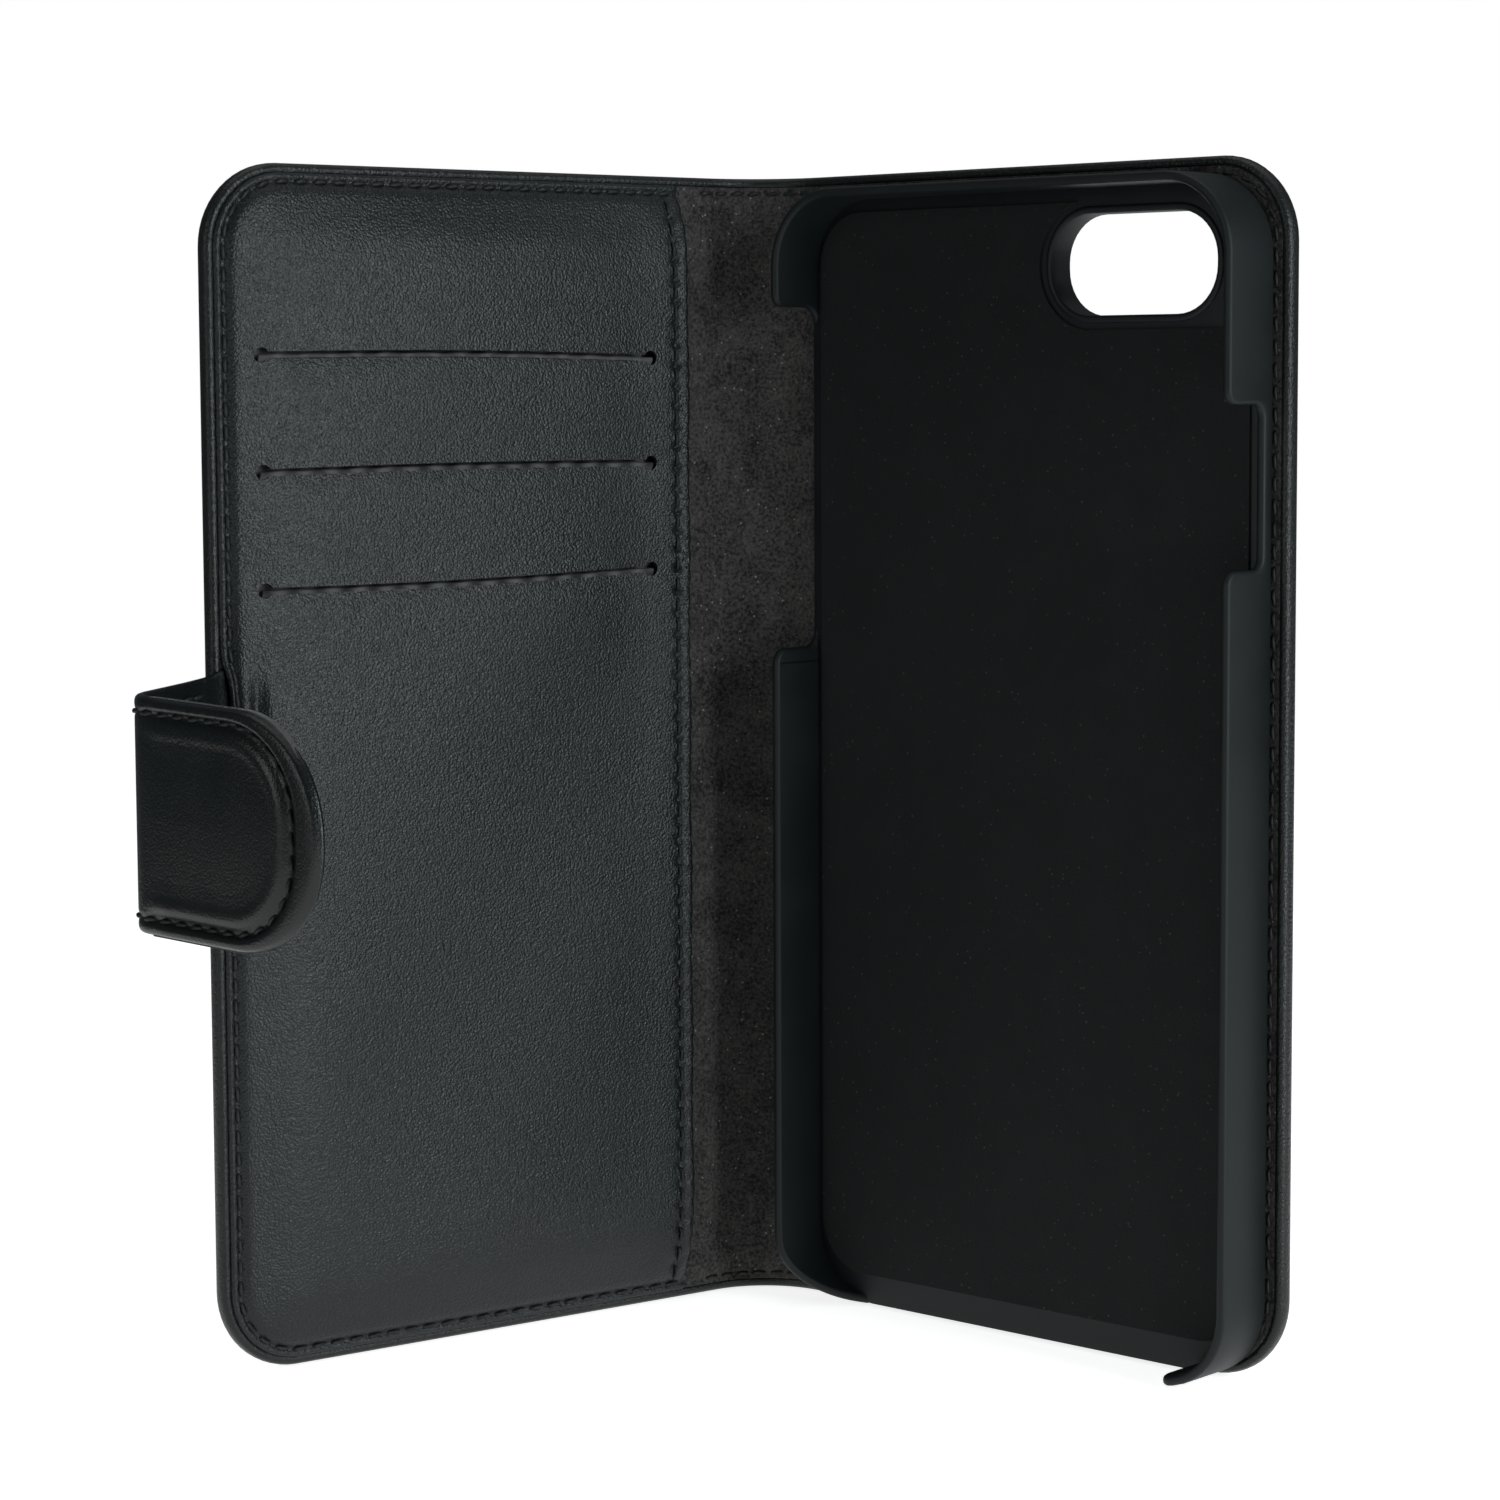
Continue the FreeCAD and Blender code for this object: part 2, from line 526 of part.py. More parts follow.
# ------------------------------------------------------------------ thread
def along(points, pitch):
    """Points and directions every pitch along a polyline."""
    out, carry = [], pitch / 2
    for a, b in zip(points, points[1:]):
        run = (b - a).Length
        u = (b - a) * (1.0 / run) if run > 1e-9 else V(1, 0, 0)
        while carry < run:
            out.append((a + u * carry, math.degrees(math.atan2(u.z, u.x))))
            carry += pitch
        carry -= run
    return out


def rounded(points, radius, steps=10):
    """The polyline with its inner corners rounded."""
    out = [points[0]]
    for a, b, c in zip(points, points[1:], points[2:]):
        u, v = (a - b), (c - b)
        u, v = u * (1.0 / u.Length), v * (1.0 / v.Length)
        half = math.acos(max(-1.0, min(1.0, u.dot(v)))) / 2
        reach = radius / math.tan(half)
        p, q = b + u * reach, b + v * reach
        mid = (u + v) * (1.0 / (u + v).Length)
        centre = b + mid * (radius / math.sin(half))
        for k in range(steps + 1):
            w = (p - centre) * (1 - k / steps) + (q - centre) * (k / steps)
            out.append(centre + w * (radius / w.Length))
    out.append(points[-1])
    return out


def thread(label, runs, level, place):
    """Every stitch of one seam that shows, as a group of separate small solids."""
    solids = []
    sl, sw, sh = d("stitch_length"), d("stitch_width"), d("stitch_height")
    for path in runs:
        for at, angle in along(path, d("stitch_pitch")):
            one = Part.makeBox(sl, sh, sw, V(-sl / 2, -sh, -sw / 2))
            one.Placement = FreeCAD.Placement(V(at.x, -level, at.z), FreeCAD.Rotation(V(0, 1, 0), -angle))
            solids.append(one)
    seam = doc.addObject("Part::Feature", label)
    seam.Label = label
    seam.Shape = Part.Compound(solids)
    seam.Placement = place
    nodes.append((seam, label))
    return seam


W, HT, inset = d("cover_width"), d("cover_height"), 2.0
side_seam = d("cover_width") - 1.7
back_run = rounded([V(3.4, 0, 1.55), V(side_seam, 0, 1.55), V(side_seam, 0, HT - 1.55), V(3.4, 0, HT - 1.55)], 8.0)
thread("back_stitching", [back_run], 0.0, BACK)
front_run = rounded([V(-8.4, 0, inset), V(-(W - inset), 0, inset), V(-(W - inset), 0, HT - inset),
                     V(-8.4, 0, HT - inset)], 8.0)
thread("front_stitching", [front_run], d("pocket_room") + d("panel_thick"), FRONT)
hem_x = -(d("panel_start") + 1.2)
thread("panel_hem_stitching", [[V(hem_x, 0, 3.2), V(hem_x, 0, HT - 3.2)]], d("pocket_room") + d("panel_thick"), FRONT)
half_spine = d("spine_chord") / 2 - d("hinge_gap") - 0.2
thread("spine_stitching", [[V(-half_spine, 0, z), V(half_spine, 0, z)] for z in (inset, HT - inset)],
       -(d("board_thick")), SPINE)
hw = d("strap_width") / 2 - 2.3
t_end = d("tab_length") - 2.3
tab_run = rounded([V(-2.0, 0, -hw - 2.0 * drop), V(-t_end, 0, -hw - t_end * drop), V(-t_end, 0, hw - t_end * drop),
                   V(-2.0, 0, hw - 2.0 * drop)], d("tab_radius") - 2.2, 16)
thread("strap_tab_stitching", [tab_run], -d("tab_core") / 2 - d("strap_layer") - d("stitch_height"), TAB)
ne = d("neck_length") - 1.4
thread("strap_neck_stitching", [[V(-1.3, 0, s * hw - 1.3 * drop), V(-ne, 0, s * hw - ne * drop)] for s in (-1, 1)],
       d("strap_layer"), NECK)

# ------------------------------------------------------------------ check and write
doc.recompute()
for obj in doc.Objects:
    if "Invalid" in obj.State or "Error" in obj.State:
        raise RuntimeError("%s is %s" % (obj.Label, obj.State))
os.makedirs("parts", exist_ok=True)
box = FreeCAD.BoundBox()
for obj, label in nodes:
    if obj.Shape.isNull() or not obj.Shape.isValid() or not obj.Shape.Solids:
        raise RuntimeError("bad shape: " + label)
    box.add(obj.Shape.BoundBox)
for obj, label in nodes:
    obj.Shape.exportStep("parts/%s.step" % label)
    print("%-24s solids %3d  volume %9.2f" % (label, len(obj.Shape.Solids), obj.Shape.Volume))
print("nodes", len(nodes))
print("box", box)
print("centre", (box.XMin + box.XMax) / 2, (box.YMin + box.YMax) / 2)
print("back fold line", d("spine_chord") / 2 + d("origin_x"), d("origin_y"))
print("strap root", root_at, "strap tip", tip_at)
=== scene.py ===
import json
import math

import bmesh
import bpy
import numpy as np
from mathutils import Matrix, Vector


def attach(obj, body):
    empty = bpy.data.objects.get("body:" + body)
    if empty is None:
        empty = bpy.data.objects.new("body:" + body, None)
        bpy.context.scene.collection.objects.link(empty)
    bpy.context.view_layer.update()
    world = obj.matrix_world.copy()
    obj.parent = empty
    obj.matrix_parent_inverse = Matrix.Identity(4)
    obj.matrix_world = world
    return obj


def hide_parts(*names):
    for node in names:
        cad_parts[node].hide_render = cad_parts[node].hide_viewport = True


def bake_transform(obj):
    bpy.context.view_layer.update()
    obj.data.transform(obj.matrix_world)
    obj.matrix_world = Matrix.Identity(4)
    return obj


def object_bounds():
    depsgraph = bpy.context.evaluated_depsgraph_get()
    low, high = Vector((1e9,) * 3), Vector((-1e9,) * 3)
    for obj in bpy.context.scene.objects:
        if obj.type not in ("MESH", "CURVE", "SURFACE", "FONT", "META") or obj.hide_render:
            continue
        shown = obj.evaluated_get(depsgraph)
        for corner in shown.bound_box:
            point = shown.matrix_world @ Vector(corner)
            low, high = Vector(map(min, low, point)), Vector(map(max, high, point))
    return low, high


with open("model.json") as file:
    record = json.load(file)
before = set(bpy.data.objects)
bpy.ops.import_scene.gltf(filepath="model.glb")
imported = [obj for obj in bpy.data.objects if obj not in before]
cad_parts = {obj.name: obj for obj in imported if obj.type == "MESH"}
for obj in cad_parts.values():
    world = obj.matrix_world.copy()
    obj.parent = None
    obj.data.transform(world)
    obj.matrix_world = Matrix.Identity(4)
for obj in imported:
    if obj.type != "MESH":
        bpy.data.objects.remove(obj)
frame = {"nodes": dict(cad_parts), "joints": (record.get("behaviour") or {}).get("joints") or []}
CAD_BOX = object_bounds()
scene = bpy.context.scene
MM = 0.001

# ------------------------------------------------------------------ layout
# Lengths are in mm.  u runs along a cover from its fold line to its free edge,
# w is the level above the lining face (positive inside), v is the height.
JOINT = {j["name"]: [x * 1000 for x in j["pos_m"]] for j in frame["joints"]}
HB = JOINT["spine_fold"]
HF = JOINT["front_fold"]
MID = (HB[0] + HF[0]) / 2
AX = 1.5                                # the fold lines lie this far below the lining face
A = math.radians(39.3)
CA, SA = math.cos(A), math.sin(A)
R_SPINE = (HB[0] - HF[0]) / 2 / SA      # the soft spine is one arc between the covers
U_MID = -R_SPINE * A
W_COVER, H_COVER, R_CORNER = 72.4, 143.0, 10.0


def place(side, u, w, v):
    """Flat-pattern coordinates to the row frame, in mm."""
    u, w, v = np.broadcast_arrays(*(np.asarray(q, float) for q in (u, w, v)))
    x = HB[0] + u * CA - (w + AX) * SA
    y = HB[1] - u * SA - (w + AX) * CA
    ph = A + np.minimum(u, 0) / R_SPINE
    cx, cy = HB[0] - R_SPINE * SA, HB[1] - R_SPINE * CA
    bent = u < 0
    x = np.where(bent, cx + (R_SPINE - (w + AX)) * np.sin(ph), x)
    y = np.where(bent, cy + (R_SPINE - (w + AX)) * np.cos(ph), y)
    if side == "front":
        x = 2 * MID - x
    return np.stack([x, y, v], -1)


ROOT = JOINT["strap_root_bend"]
TIP = JOINT["strap_tip_bend"]
AL, BE = A + math.radians(30), A + math.radians(104.5)
DROOP = math.tan(math.radians(2.7))
NECK = 14.6
TAB_L, TAB_W, TAB_R = 30.4, 27.1, 13.0


def heading(a):
    return np.array([-math.cos(a), -math.sin(a)])


def strap_curve():
    """The strap's middle line in plan, as (station, x, y, direction), with both bends rounded."""
    root, tip = np.array(ROOT[:2]), np.array(TIP[:2])
    legs = [root - heading(A) * 6.0, root, tip, tip + heading(BE) * 34.0]
    out = []
    angles = [A, AL, BE]
    trims = [0, 2.6, 2.3, 0]
    station = -6.0
    for i in range(3):
        p, q = legs[i], legs[i + 1]
        h = heading(angles[i])
        length = np.linalg.norm(q - p)
        a0 = p + h * trims[i]
        n = max(2, int((length - trims[i] - trims[i + 1]) / 0.4))
        for t in np.linspace(0, length - trims[i] - trims[i + 1], n):
            out.append((a0[0] + h[0] * t, a0[1] + h[1] * t, angles[i]))
        if i < 2:
            turn = angles[i + 1] - angles[i]
            r = trims[i + 1] / math.tan(turn / 2)
            s0 = q - h * trims[i + 1]
            centre = s0 + r * np.array([h[1], -h[0]]) * -1
            k = 14
            for j in range(1, k):
                a = angles[i] + turn * j / k
                hh = heading(a)
                p2 = centre - r * np.array([hh[1], -hh[0]]) * -1
                out.append((p2[0], p2[1], a))
    out = np.array(out)
    step = np.r_[0, np.cumsum(np.hypot(*np.diff(out[:, :2], axis=0).T))]
    return np.c_[step - 6.0, out]


STRAP = strap_curve()


def place_strap(s, off, h):
    """s along the strap, off across it (negative is the outer face) and h up its width, in mm."""
    s, off, h = np.broadcast_arrays(*(np.asarray(q, float) for q in (s, off, h)))
    x = np.interp(s, STRAP[:, 0], STRAP[:, 1])
    y = np.interp(s, STRAP[:, 0], STRAP[:, 2])
    a = np.interp(s, STRAP[:, 0], STRAP[:, 3])
    drop = np.maximum(s, 0) * DROOP
    return np.stack([x + off * np.sin(a), y - off * np.cos(a), ROOT[2] - drop + h], -1)


# ------------------------------------------------------------------ mesh helpers
def new_object(name, verts, faces, material, smooth=35):
    me = bpy.data.meshes.new(name)
    me.from_pydata([tuple(p) for p in np.asarray(verts) * MM], [], [tuple(int(i) for i in f) for f in faces])
    bm = bmesh.new()
    bm.from_mesh(me)
    bmesh.ops.remove_doubles(bm, verts=bm.verts, dist=2e-6)
    bmesh.ops.dissolve_degenerate(bm, edges=bm.edges, dist=1e-6)
    loose = [x for x in bm.verts if not x.link_faces]
    bmesh.ops.delete(bm, geom=loose, context="VERTS")
    bmesh.ops.recalc_face_normals(bm, faces=bm.faces)
    bm.to_mesh(me)
    bm.free()
    me.shade_smooth()
    if smooth:
        me.set_sharp_from_angle(angle=math.radians(smooth))
    ob = bpy.data.objects.new(name, me)
    scene.collection.objects.link(ob)
    me.materials.append(material)
    return ob


def spread(a, b, step, fine=()):
    """Stations from a to b about step apart, with the extra ones in fine."""
    base = list(np.linspace(a, b, max(2, int(round(abs(b - a) / step)) + 1)))
    extra = [x for x in fine if min(a, b) < x < max(a, b)]
    out = sorted(set(np.round(base + extra, 4)))
    keep = [out[0]]
    for x in out[1:]:
        if x - keep[-1] > 0.04:
            keep.append(x)
    keep[-1] = max(a, b)
    return np.array(keep)


def u_path(us, vs, u1, v0, v1, r, n_arc=14):
    """Along the top, round both corners of the free edge and back along the bottom: points and outward normals."""
    pts, nor = [], []
    for u in us:
        pts.append((u, v1)); nor.append((0, 1))
    for k in range(1, n_arc):
        t = math.pi / 2 * (1 - k / n_arc)
        nor.append((math.cos(t), math.sin(t)))
        pts.append((u1 - r + r * math.cos(t), v1 - r + r * math.sin(t)))
    for v in vs[::-1]:
        pts.append((u1, v)); nor.append((1, 0))
    for k in range(1, n_arc):
        t = -math.pi / 2 * k / n_arc
        nor.append((math.cos(t), math.sin(t)))
        pts.append((u1 - r + r * math.cos(t), v0 + r + r * math.sin(t)))
    for u in us[::-1]:
        pts.append((u, v0)); nor.append((0, -1))
    return np.array(pts, float), np.array(nor, float)


def shell(rings, us, vs, u1, v0, v1, r):
    """A closed sheet with two rounded corners.  rings are (d_top, w_top, d_bottom, w_bottom) from the edge inwards;
    the last has d = r.  Returns vertices (u, w, v), faces and each vertex's layer (0 top, 1 bottom)."""
    pts, nor = u_path(us, vs, u1, v0, v1, r)
    verts, layer, faces = [], [], []
    n = len(pts)
    ring_id = []
    for L in (0, 1):
        ids = []
        for ring in rings:
            d, w = ring[2 * L], ring[2 * L + 1]
            base = len(verts)
            q = pts - nor * d
            verts += [(q[i, 0], w, q[i, 1]) for i in range(n)]
            layer += [L] * n
            ids.append(base)
        ring_id.append(ids)
        for a, b in zip(ids, ids[1:]):
            faces += [(a + i, a + i + 1, b + i + 1, b + i) for i in range(n - 1)]
    faces += [(ring_id[0][0] + i, ring_id[0][0] + i + 1, ring_id[1][0] + i + 1, ring_id[1][0] + i) for i in range(n - 1)]
    grid_id = []
    for L in (0, 1):
        w = rings[-1][2 * L + 1]
        base = len(verts)
        verts += [(u, w, v) for u in us for v in vs]
        layer += [L] * (len(us) * len(vs))
        m = len(vs)
        faces += [(base + i * m + j, base + i * m + j + 1, base + (i + 1) * m + j + 1, base + (i + 1) * m + j)
                  for i in range(len(us) - 1) for j in range(m - 1)]
        grid_id.append(base)
    chain = []
    for L in (0, 1):
        c = [ring_id[L][k] for k in range(len(rings))]
        c += [grid_id[L] + j for j in range(len(vs) - 1, -1, -1)]
        c += [ring_id[L][k] + n - 1 for k in range(len(rings) - 1, -1, -1)]
        chain.append(c)
    faces += [(chain[0][i], chain[0][i + 1], chain[1][i + 1], chain[1][i]) for i in range(len(chain[0]) - 1)]
    return np.array(verts, float), faces, np.array(layer)


def edge_distance(u, v, u1, v0, v1, r):
    """Distance in from the top, bottom and free edge of a sheet with rounded corners."""
    d = np.minimum(np.minimum(u1 - u, v1 - v), v - v0)
    for vc, sgn in ((v1 - r, 1), (v0 + r, -1)):
        corner = (u > u1 - r) & ((v - vc) * sgn > 0)
        d = np.where(corner, r - np.hypot(u - (u1 - r), v - vc), d)
    return np.maximum(d, 0)


def outline_prism(outline, w0, w1):
    """A closed prism on a convex or dumbbell outline of (u, v) points."""
    n = len(outline)
    verts = [(u, w0, v) for u, v in outline] + [(u, w1, v) for u, v in outline]
    faces = [tuple(range(n)), tuple(range(2 * n - 1, n - 1, -1))]
    faces += [(i, n + i, n + (i + 1) % n, (i + 1) % n) for i in range(n)]
    return verts, faces


def rounded_rect(u0, u1, v0, v1, r, n=12):
    pts = []
    for cu, cv, a0 in ((u1 - r, v1 - r, 0), (u0 + r, v1 - r, 90), (u0 + r, v0 + r, 180), (u1 - r, v0 + r, 270)):
        for k in range(n + 1):
            t = math.radians(a0 + 90 * k / n)
            pts.append((cu + r * math.cos(t), cv + r * math.sin(t)))
    return pts


def slot_outline(u0, u1, v, half, eye):
    """A slit with a round eye at each end."""
    a = math.asin(half / eye)
    pts = []
    for k in range(17):
        t = math.pi - (math.pi - a) + (2 * math.pi - 2 * a) * k / 16
        pts.append((u0 + eye * math.cos(t), v + eye * math.sin(t)))
    for k in range(17):
        t = -math.pi + a + (2 * math.pi - 2 * a) * k / 16
        pts.append((u1 + eye * math.cos(t), v + eye * math.sin(t)))
    return pts


def cut_flat(verts, faces, cutters):
    """Cuts prisms out of a closed flat-pattern mesh and returns its vertices and faces."""
    me = bpy.data.meshes.new("work")
    me.from_pydata([tuple(p) for p in verts], [], [tuple(int(i) for i in f) for f in faces])
    bm = bmesh.new(); bm.from_mesh(me)
    bmesh.ops.remove_doubles(bm, verts=bm.verts, dist=2e-3)
    bmesh.ops.dissolve_degenerate(bm, edges=bm.edges, dist=1e-3)
    bmesh.ops.recalc_face_normals(bm, faces=bm.faces)
    bm.to_mesh(me); bm.free()
    ob = bpy.data.objects.new("work", me)
    scene.collection.objects.link(ob)
    tools = []
    for i, (cv, cf) in enumerate(cutters):
        cm = bpy.data.meshes.new("cutter%d" % i)
        cm.from_pydata([tuple(p) for p in cv], [], cf)
        bm = bmesh.new(); bm.from_mesh(cm)
        bmesh.ops.recalc_face_normals(bm, faces=bm.faces)
        bm.to_mesh(cm); bm.free()
        co = bpy.data.objects.new("cutter%d" % i, cm)
        scene.collection.objects.link(co)
        tools.append(co)
        mod = ob.modifiers.new("cut%d" % i, "BOOLEAN")
        mod.operation = "DIFFERENCE"
        mod.solver = "EXACT"
        mod.object = co
    dg = bpy.context.evaluated_depsgraph_get()
    res = bpy.data.meshes.new_from_object(ob.evaluated_get(dg))
    out_v = np.array([p.co for p in res.vertices], float)
    out_f = [tuple(p.vertices) for p in res.polygons]
    for o in [ob] + tools:
        bpy.data.objects.remove(o, do_unlink=True)
    bpy.data.meshes.remove(res)
    return out_v, out_f


def stitches(name, runs, material, pitch=2.6, length=1.95, width=0.52, rise=0.26, seed=1):
    """Lockstitch thread: every visible stitch is a small twisted bar that dives into the leather at both ends.
    runs is a list of (function of t in 0..1 giving rows of points, length in mm, function giving the outward normal)."""
    rng = np.random.default_rng(seed)
    verts, faces = [], []
    n_l, n_r = 9, 8
    for path, total, normal in runs:
        count = max(1, int(round(total / pitch)))
        for k in range(count):
            s0 = (k + 0.5) * total / count - length / 2
            jig = rng.normal(0, 0.035, 2)
            ts = np.linspace(s0, s0 + length, n_l) / total
            c = path(np.clip(ts, 0, 1))
            nn = normal(np.clip(ts, 0, 1))
            tang = np.gradient(c, axis=0)
            tang /= np.linalg.norm(tang, axis=1)[:, None] + 1e-9
            side = np.cross(nn, tang)
            side /= np.linalg.norm(side, axis=1)[:, None] + 1e-9
            x = np.linspace(0, 1, n_l)
            arch = np.sin(math.pi * x) ** 0.55
            slant = (x - 0.5) * (0.16 + jig[0])
            centre = c + nn * (arch * rise * (1 + jig[1]) - 0.16)[:, None] + side * slant[:, None]
            fat = width / 2 * (0.55 + 0.45 * np.sin(math.pi * x) ** 0.5)
            base = len(verts)
            for i in range(n_l):
                for j in range(n_r):
                    t = 2 * math.pi * j / n_r
                    lump = 1 + 0.13 * math.cos(2 * (t - 5.0 * x[i]))
                    verts.append(centre[i] + (side[i] * math.cos(t) + nn[i] * 0.8 * math.sin(t)) * fat[i] * lump)
            for i in range(n_l - 1):
                for j in range(n_r):
                    a, b = base + i * n_r + j, base + i * n_r + (j + 1) % n_r
                    faces.append((a, b, b + n_r, a + n_r))
            faces.append(tuple(base + j for j in range(n_r)))
            faces.append(tuple(base + (n_l - 1) * n_r + j for j in range(n_r - 1, -1, -1)))
    return new_object(name, verts, faces, material, smooth=0)


def run_on(side, pts, level, flip=1):
    """A seam on a cover: pts are (u, v) corners of a polyline, level is a number or a function of (u, v)."""
    pts = np.array(pts, float)
    seg = np.r_[0, np.cumsum(np.hypot(*np.diff(pts, axis=0).T))]

    def at(t):
        s = np.asarray(t) * seg[-1]
        u, v = np.interp(s, seg, pts[:, 0]), np.interp(s, seg, pts[:, 1])
        return u, v

    def path(t):
        u, v = at(t)
        w = level(u, v) if callable(level) else level
        shift = pull(u, v) if callable(level) else 0.0
        return place(side, u + shift, w, v)

    def normal(t):
        u, v = at(t)
        n = place(side, u, 1.0, v) - place(side, u, 0.0, v)
        return n / np.linalg.norm(n, axis=1)[:, None] * flip

    return path, seg[-1], normal


def u_line(u_start, u1, v0, v1, r, d, u_stop=None):
    """A seam d inside the outline, as points."""
    u_stop = u_start if u_stop is None else u_stop
    pts = [(u_start, v1 - d)]
    rr = max(r - d, 0.4)
    for k in range(13):
        t = math.pi / 2 * (1 - k / 12)
        pts.append((u1 - r + rr * math.cos(t), v1 - r + rr * math.sin(t)))
    for k in range(13):
        t = -math.pi / 2 * k / 12
        pts.append((u1 - r + rr * math.cos(t), v0 + r + rr * math.sin(t)))
    pts.append((u_stop, v0 + d))
    return pts


# ------------------------------------------------------------------ materials
def tree(name):
    m = bpy.data.materials.new(name)
    m.use_nodes = True
    nt = m.node_tree
    for n in list(nt.nodes):
        nt.nodes.remove(n)
    out = nt.nodes.new("ShaderNodeOutputMaterial")
    b = nt.nodes.new("ShaderNodeBsdfPrincipled")
    nt.links.new(b.outputs[0], out.inputs[0])
    co = nt.nodes.new("ShaderNodeTexCoord")
    return m, nt, b, co.outputs["Object"]


def noise(nt, co, size_mm, detail=3.0, rough=0.55, distort=0.0):
    n = nt.nodes.new("ShaderNodeTexNoise")
    n.inputs["Scale"].default_value = 1000.0 / size_mm
    n.inputs["Detail"].default_value = detail
    n.inputs["Roughness"].default_value = rough
    n.inputs["Distortion"].default_value = distort
    nt.links.new(co, n.inputs["Vector"])
    return n.outputs["Fac"]


def cells(nt, co, size_mm, feature="F1", jitter=1.0):
    n = nt.nodes.new("ShaderNodeTexVoronoi")
    n.feature = feature
    n.inputs["Scale"].default_value = 1000.0 / size_mm
    n.inputs["Randomness"].default_value = jitter
    nt.links.new(co, n.inputs["Vector"])
    return n.outputs["Distance"]


def maths(nt, op, a, b=0.0, c=None):
    n = nt.nodes.new("ShaderNodeMath")
    n.operation = op
    for i, x in enumerate((a, b) if c is None else (a, b, c)):
        if isinstance(x, (int, float)):
            n.inputs[i].default_value = x
        else:
            nt.links.new(x, n.inputs[i])
    return n.outputs[0]


def remap(nt, x, lo, hi, a, b):
    n = nt.nodes.new("ShaderNodeMapRange")
    for k, q in (("From Min", lo), ("From Max", hi), ("To Min", a), ("To Max", b)):
        n.inputs[k].default_value = q
    nt.links.new(x, n.inputs["Value"])
    return n.outputs[0]


def ramp(nt, fac, stops):
    n = nt.nodes.new("ShaderNodeValToRGB")
    cr = n.color_ramp
    while len(cr.elements) < len(stops):
        cr.elements.new(0.5)
    for e, (p, c) in zip(cr.elements, stops):
        e.position = p
        e.color = (*c, 1)
    nt.links.new(fac, n.inputs["Fac"])
    return n.outputs["Color"]


def bump(nt, b, height, dist_mm, strength=1.0, prev=None, slot="Normal"):
    n = nt.nodes.new("ShaderNodeBump")
    n.inputs["Distance"].default_value = dist_mm * MM
    n.inputs["Strength"].default_value = strength
    nt.links.new(height, n.inputs["Height"])
    if prev is not None:
        nt.links.new(prev, n.inputs["Normal"])
    if b is not None:
        nt.links.new(n.outputs[0], b.inputs[slot])
    return n.outputs[0]


def leather(name, dark, light, rough=(0.40, 0.52), grain=0.05, grain_mm=0.55, coat=0.0, wrinkle=0.05):
    """Fine-grained coated leather: pebbled cells, hair-fine creases and a slow change of gloss."""
    m, nt, b, co = tree(name)
    pebble = cells(nt, co, grain_mm)
    edge = cells(nt, co, grain_mm * 1.35, "DISTANCE_TO_EDGE")
    fine = noise(nt, co, grain_mm * 0.6, 2.0)
    slow = noise(nt, co, 26.0, 2.0, 0.5, 0.4)
    mid = noise(nt, co, 5.0, 3.0)
    creases = maths(nt, "MINIMUM", remap(nt, edge, 0.0, 0.16, 0.0, 1.0), 1.0)
    h = maths(nt, "MULTIPLY_ADD", pebble, -1.1, maths(nt, "MULTIPLY", creases, 0.22))
    h = maths(nt, "MULTIPLY_ADD", fine, 0.9, h)
    tone = maths(nt, "MULTIPLY_ADD", mid, 0.35, maths(nt, "MULTIPLY", slow, 0.65))
    col = ramp(nt, tone, ((0.3, dark), (0.72, light)))
    nt.links.new(col, b.inputs["Base Color"])
    r = maths(nt, "MULTIPLY_ADD", creases, -0.05, remap(nt, slow, 0.3, 0.7, rough[0], rough[1]))
    r = maths(nt, "MULTIPLY_ADD", fine, 0.08, r)
    nt.links.new(r, b.inputs["Roughness"])
    p = bump(nt, None, mid, wrinkle, 0.6)
    bump(nt, b, h, grain, 1.0, p)
    b.inputs["Specular IOR Level"].default_value = 0.27
    b.inputs["IOR"].default_value = 1.5
    if coat:
        b.inputs["Coat Weight"].default_value = coat
        b.inputs["Coat Roughness"].default_value = 0.22
    return m


def suede(name, dark, light, dust=0.0, nap_mm=0.35, sheen=0.25):
    """Brushed microfibre: a matted nap, cloudy brushing marks and, where asked for, bright specks of dust."""
    m, nt, b, co = tree(name)
    nap = noise(nt, co, nap_mm, 4.0, 0.7)
    cloud = noise(nt, co, 7.0, 3.0, 0.6, 0.8)
    tone = maths(nt, "MULTIPLY_ADD", nap, 0.72, maths(nt, "MULTIPLY", cloud, 0.28))
    col = ramp(nt, tone, ((0.40, dark), (0.62, light)))
    if dust:
        speck = cells(nt, co, 0.95)
        gate = noise(nt, co, 0.8, 1.0)
        spot = maths(nt, "MULTIPLY", maths(nt, "LESS_THAN", speck, 0.13), maths(nt, "GREATER_THAN", gate, 0.53))
        mix = nt.nodes.new("ShaderNodeMix")
        mix.data_type = "RGBA"
        nt.links.new(maths(nt, "MULTIPLY", spot, dust), mix.inputs["Factor"])
        nt.links.new(col, mix.inputs[6])
        mix.inputs[7].default_value = (0.20, 0.19, 0.17, 1)
        col = mix.outputs[2]
    nt.links.new(col, b.inputs["Base Color"])
    nt.links.new(remap(nt, nap, 0.3, 0.7, 0.82, 0.96), b.inputs["Roughness"])
    bump(nt, b, tone, 0.16, 1.0)
    b.inputs["Sheen Weight"].default_value = sheen
    b.inputs["Sheen Roughness"].default_value = 0.45
    b.inputs["Sheen Tint"].default_value = (0.75, 0.78, 0.8, 1)
    b.inputs["Specular IOR Level"].default_value = 0.25
    return m


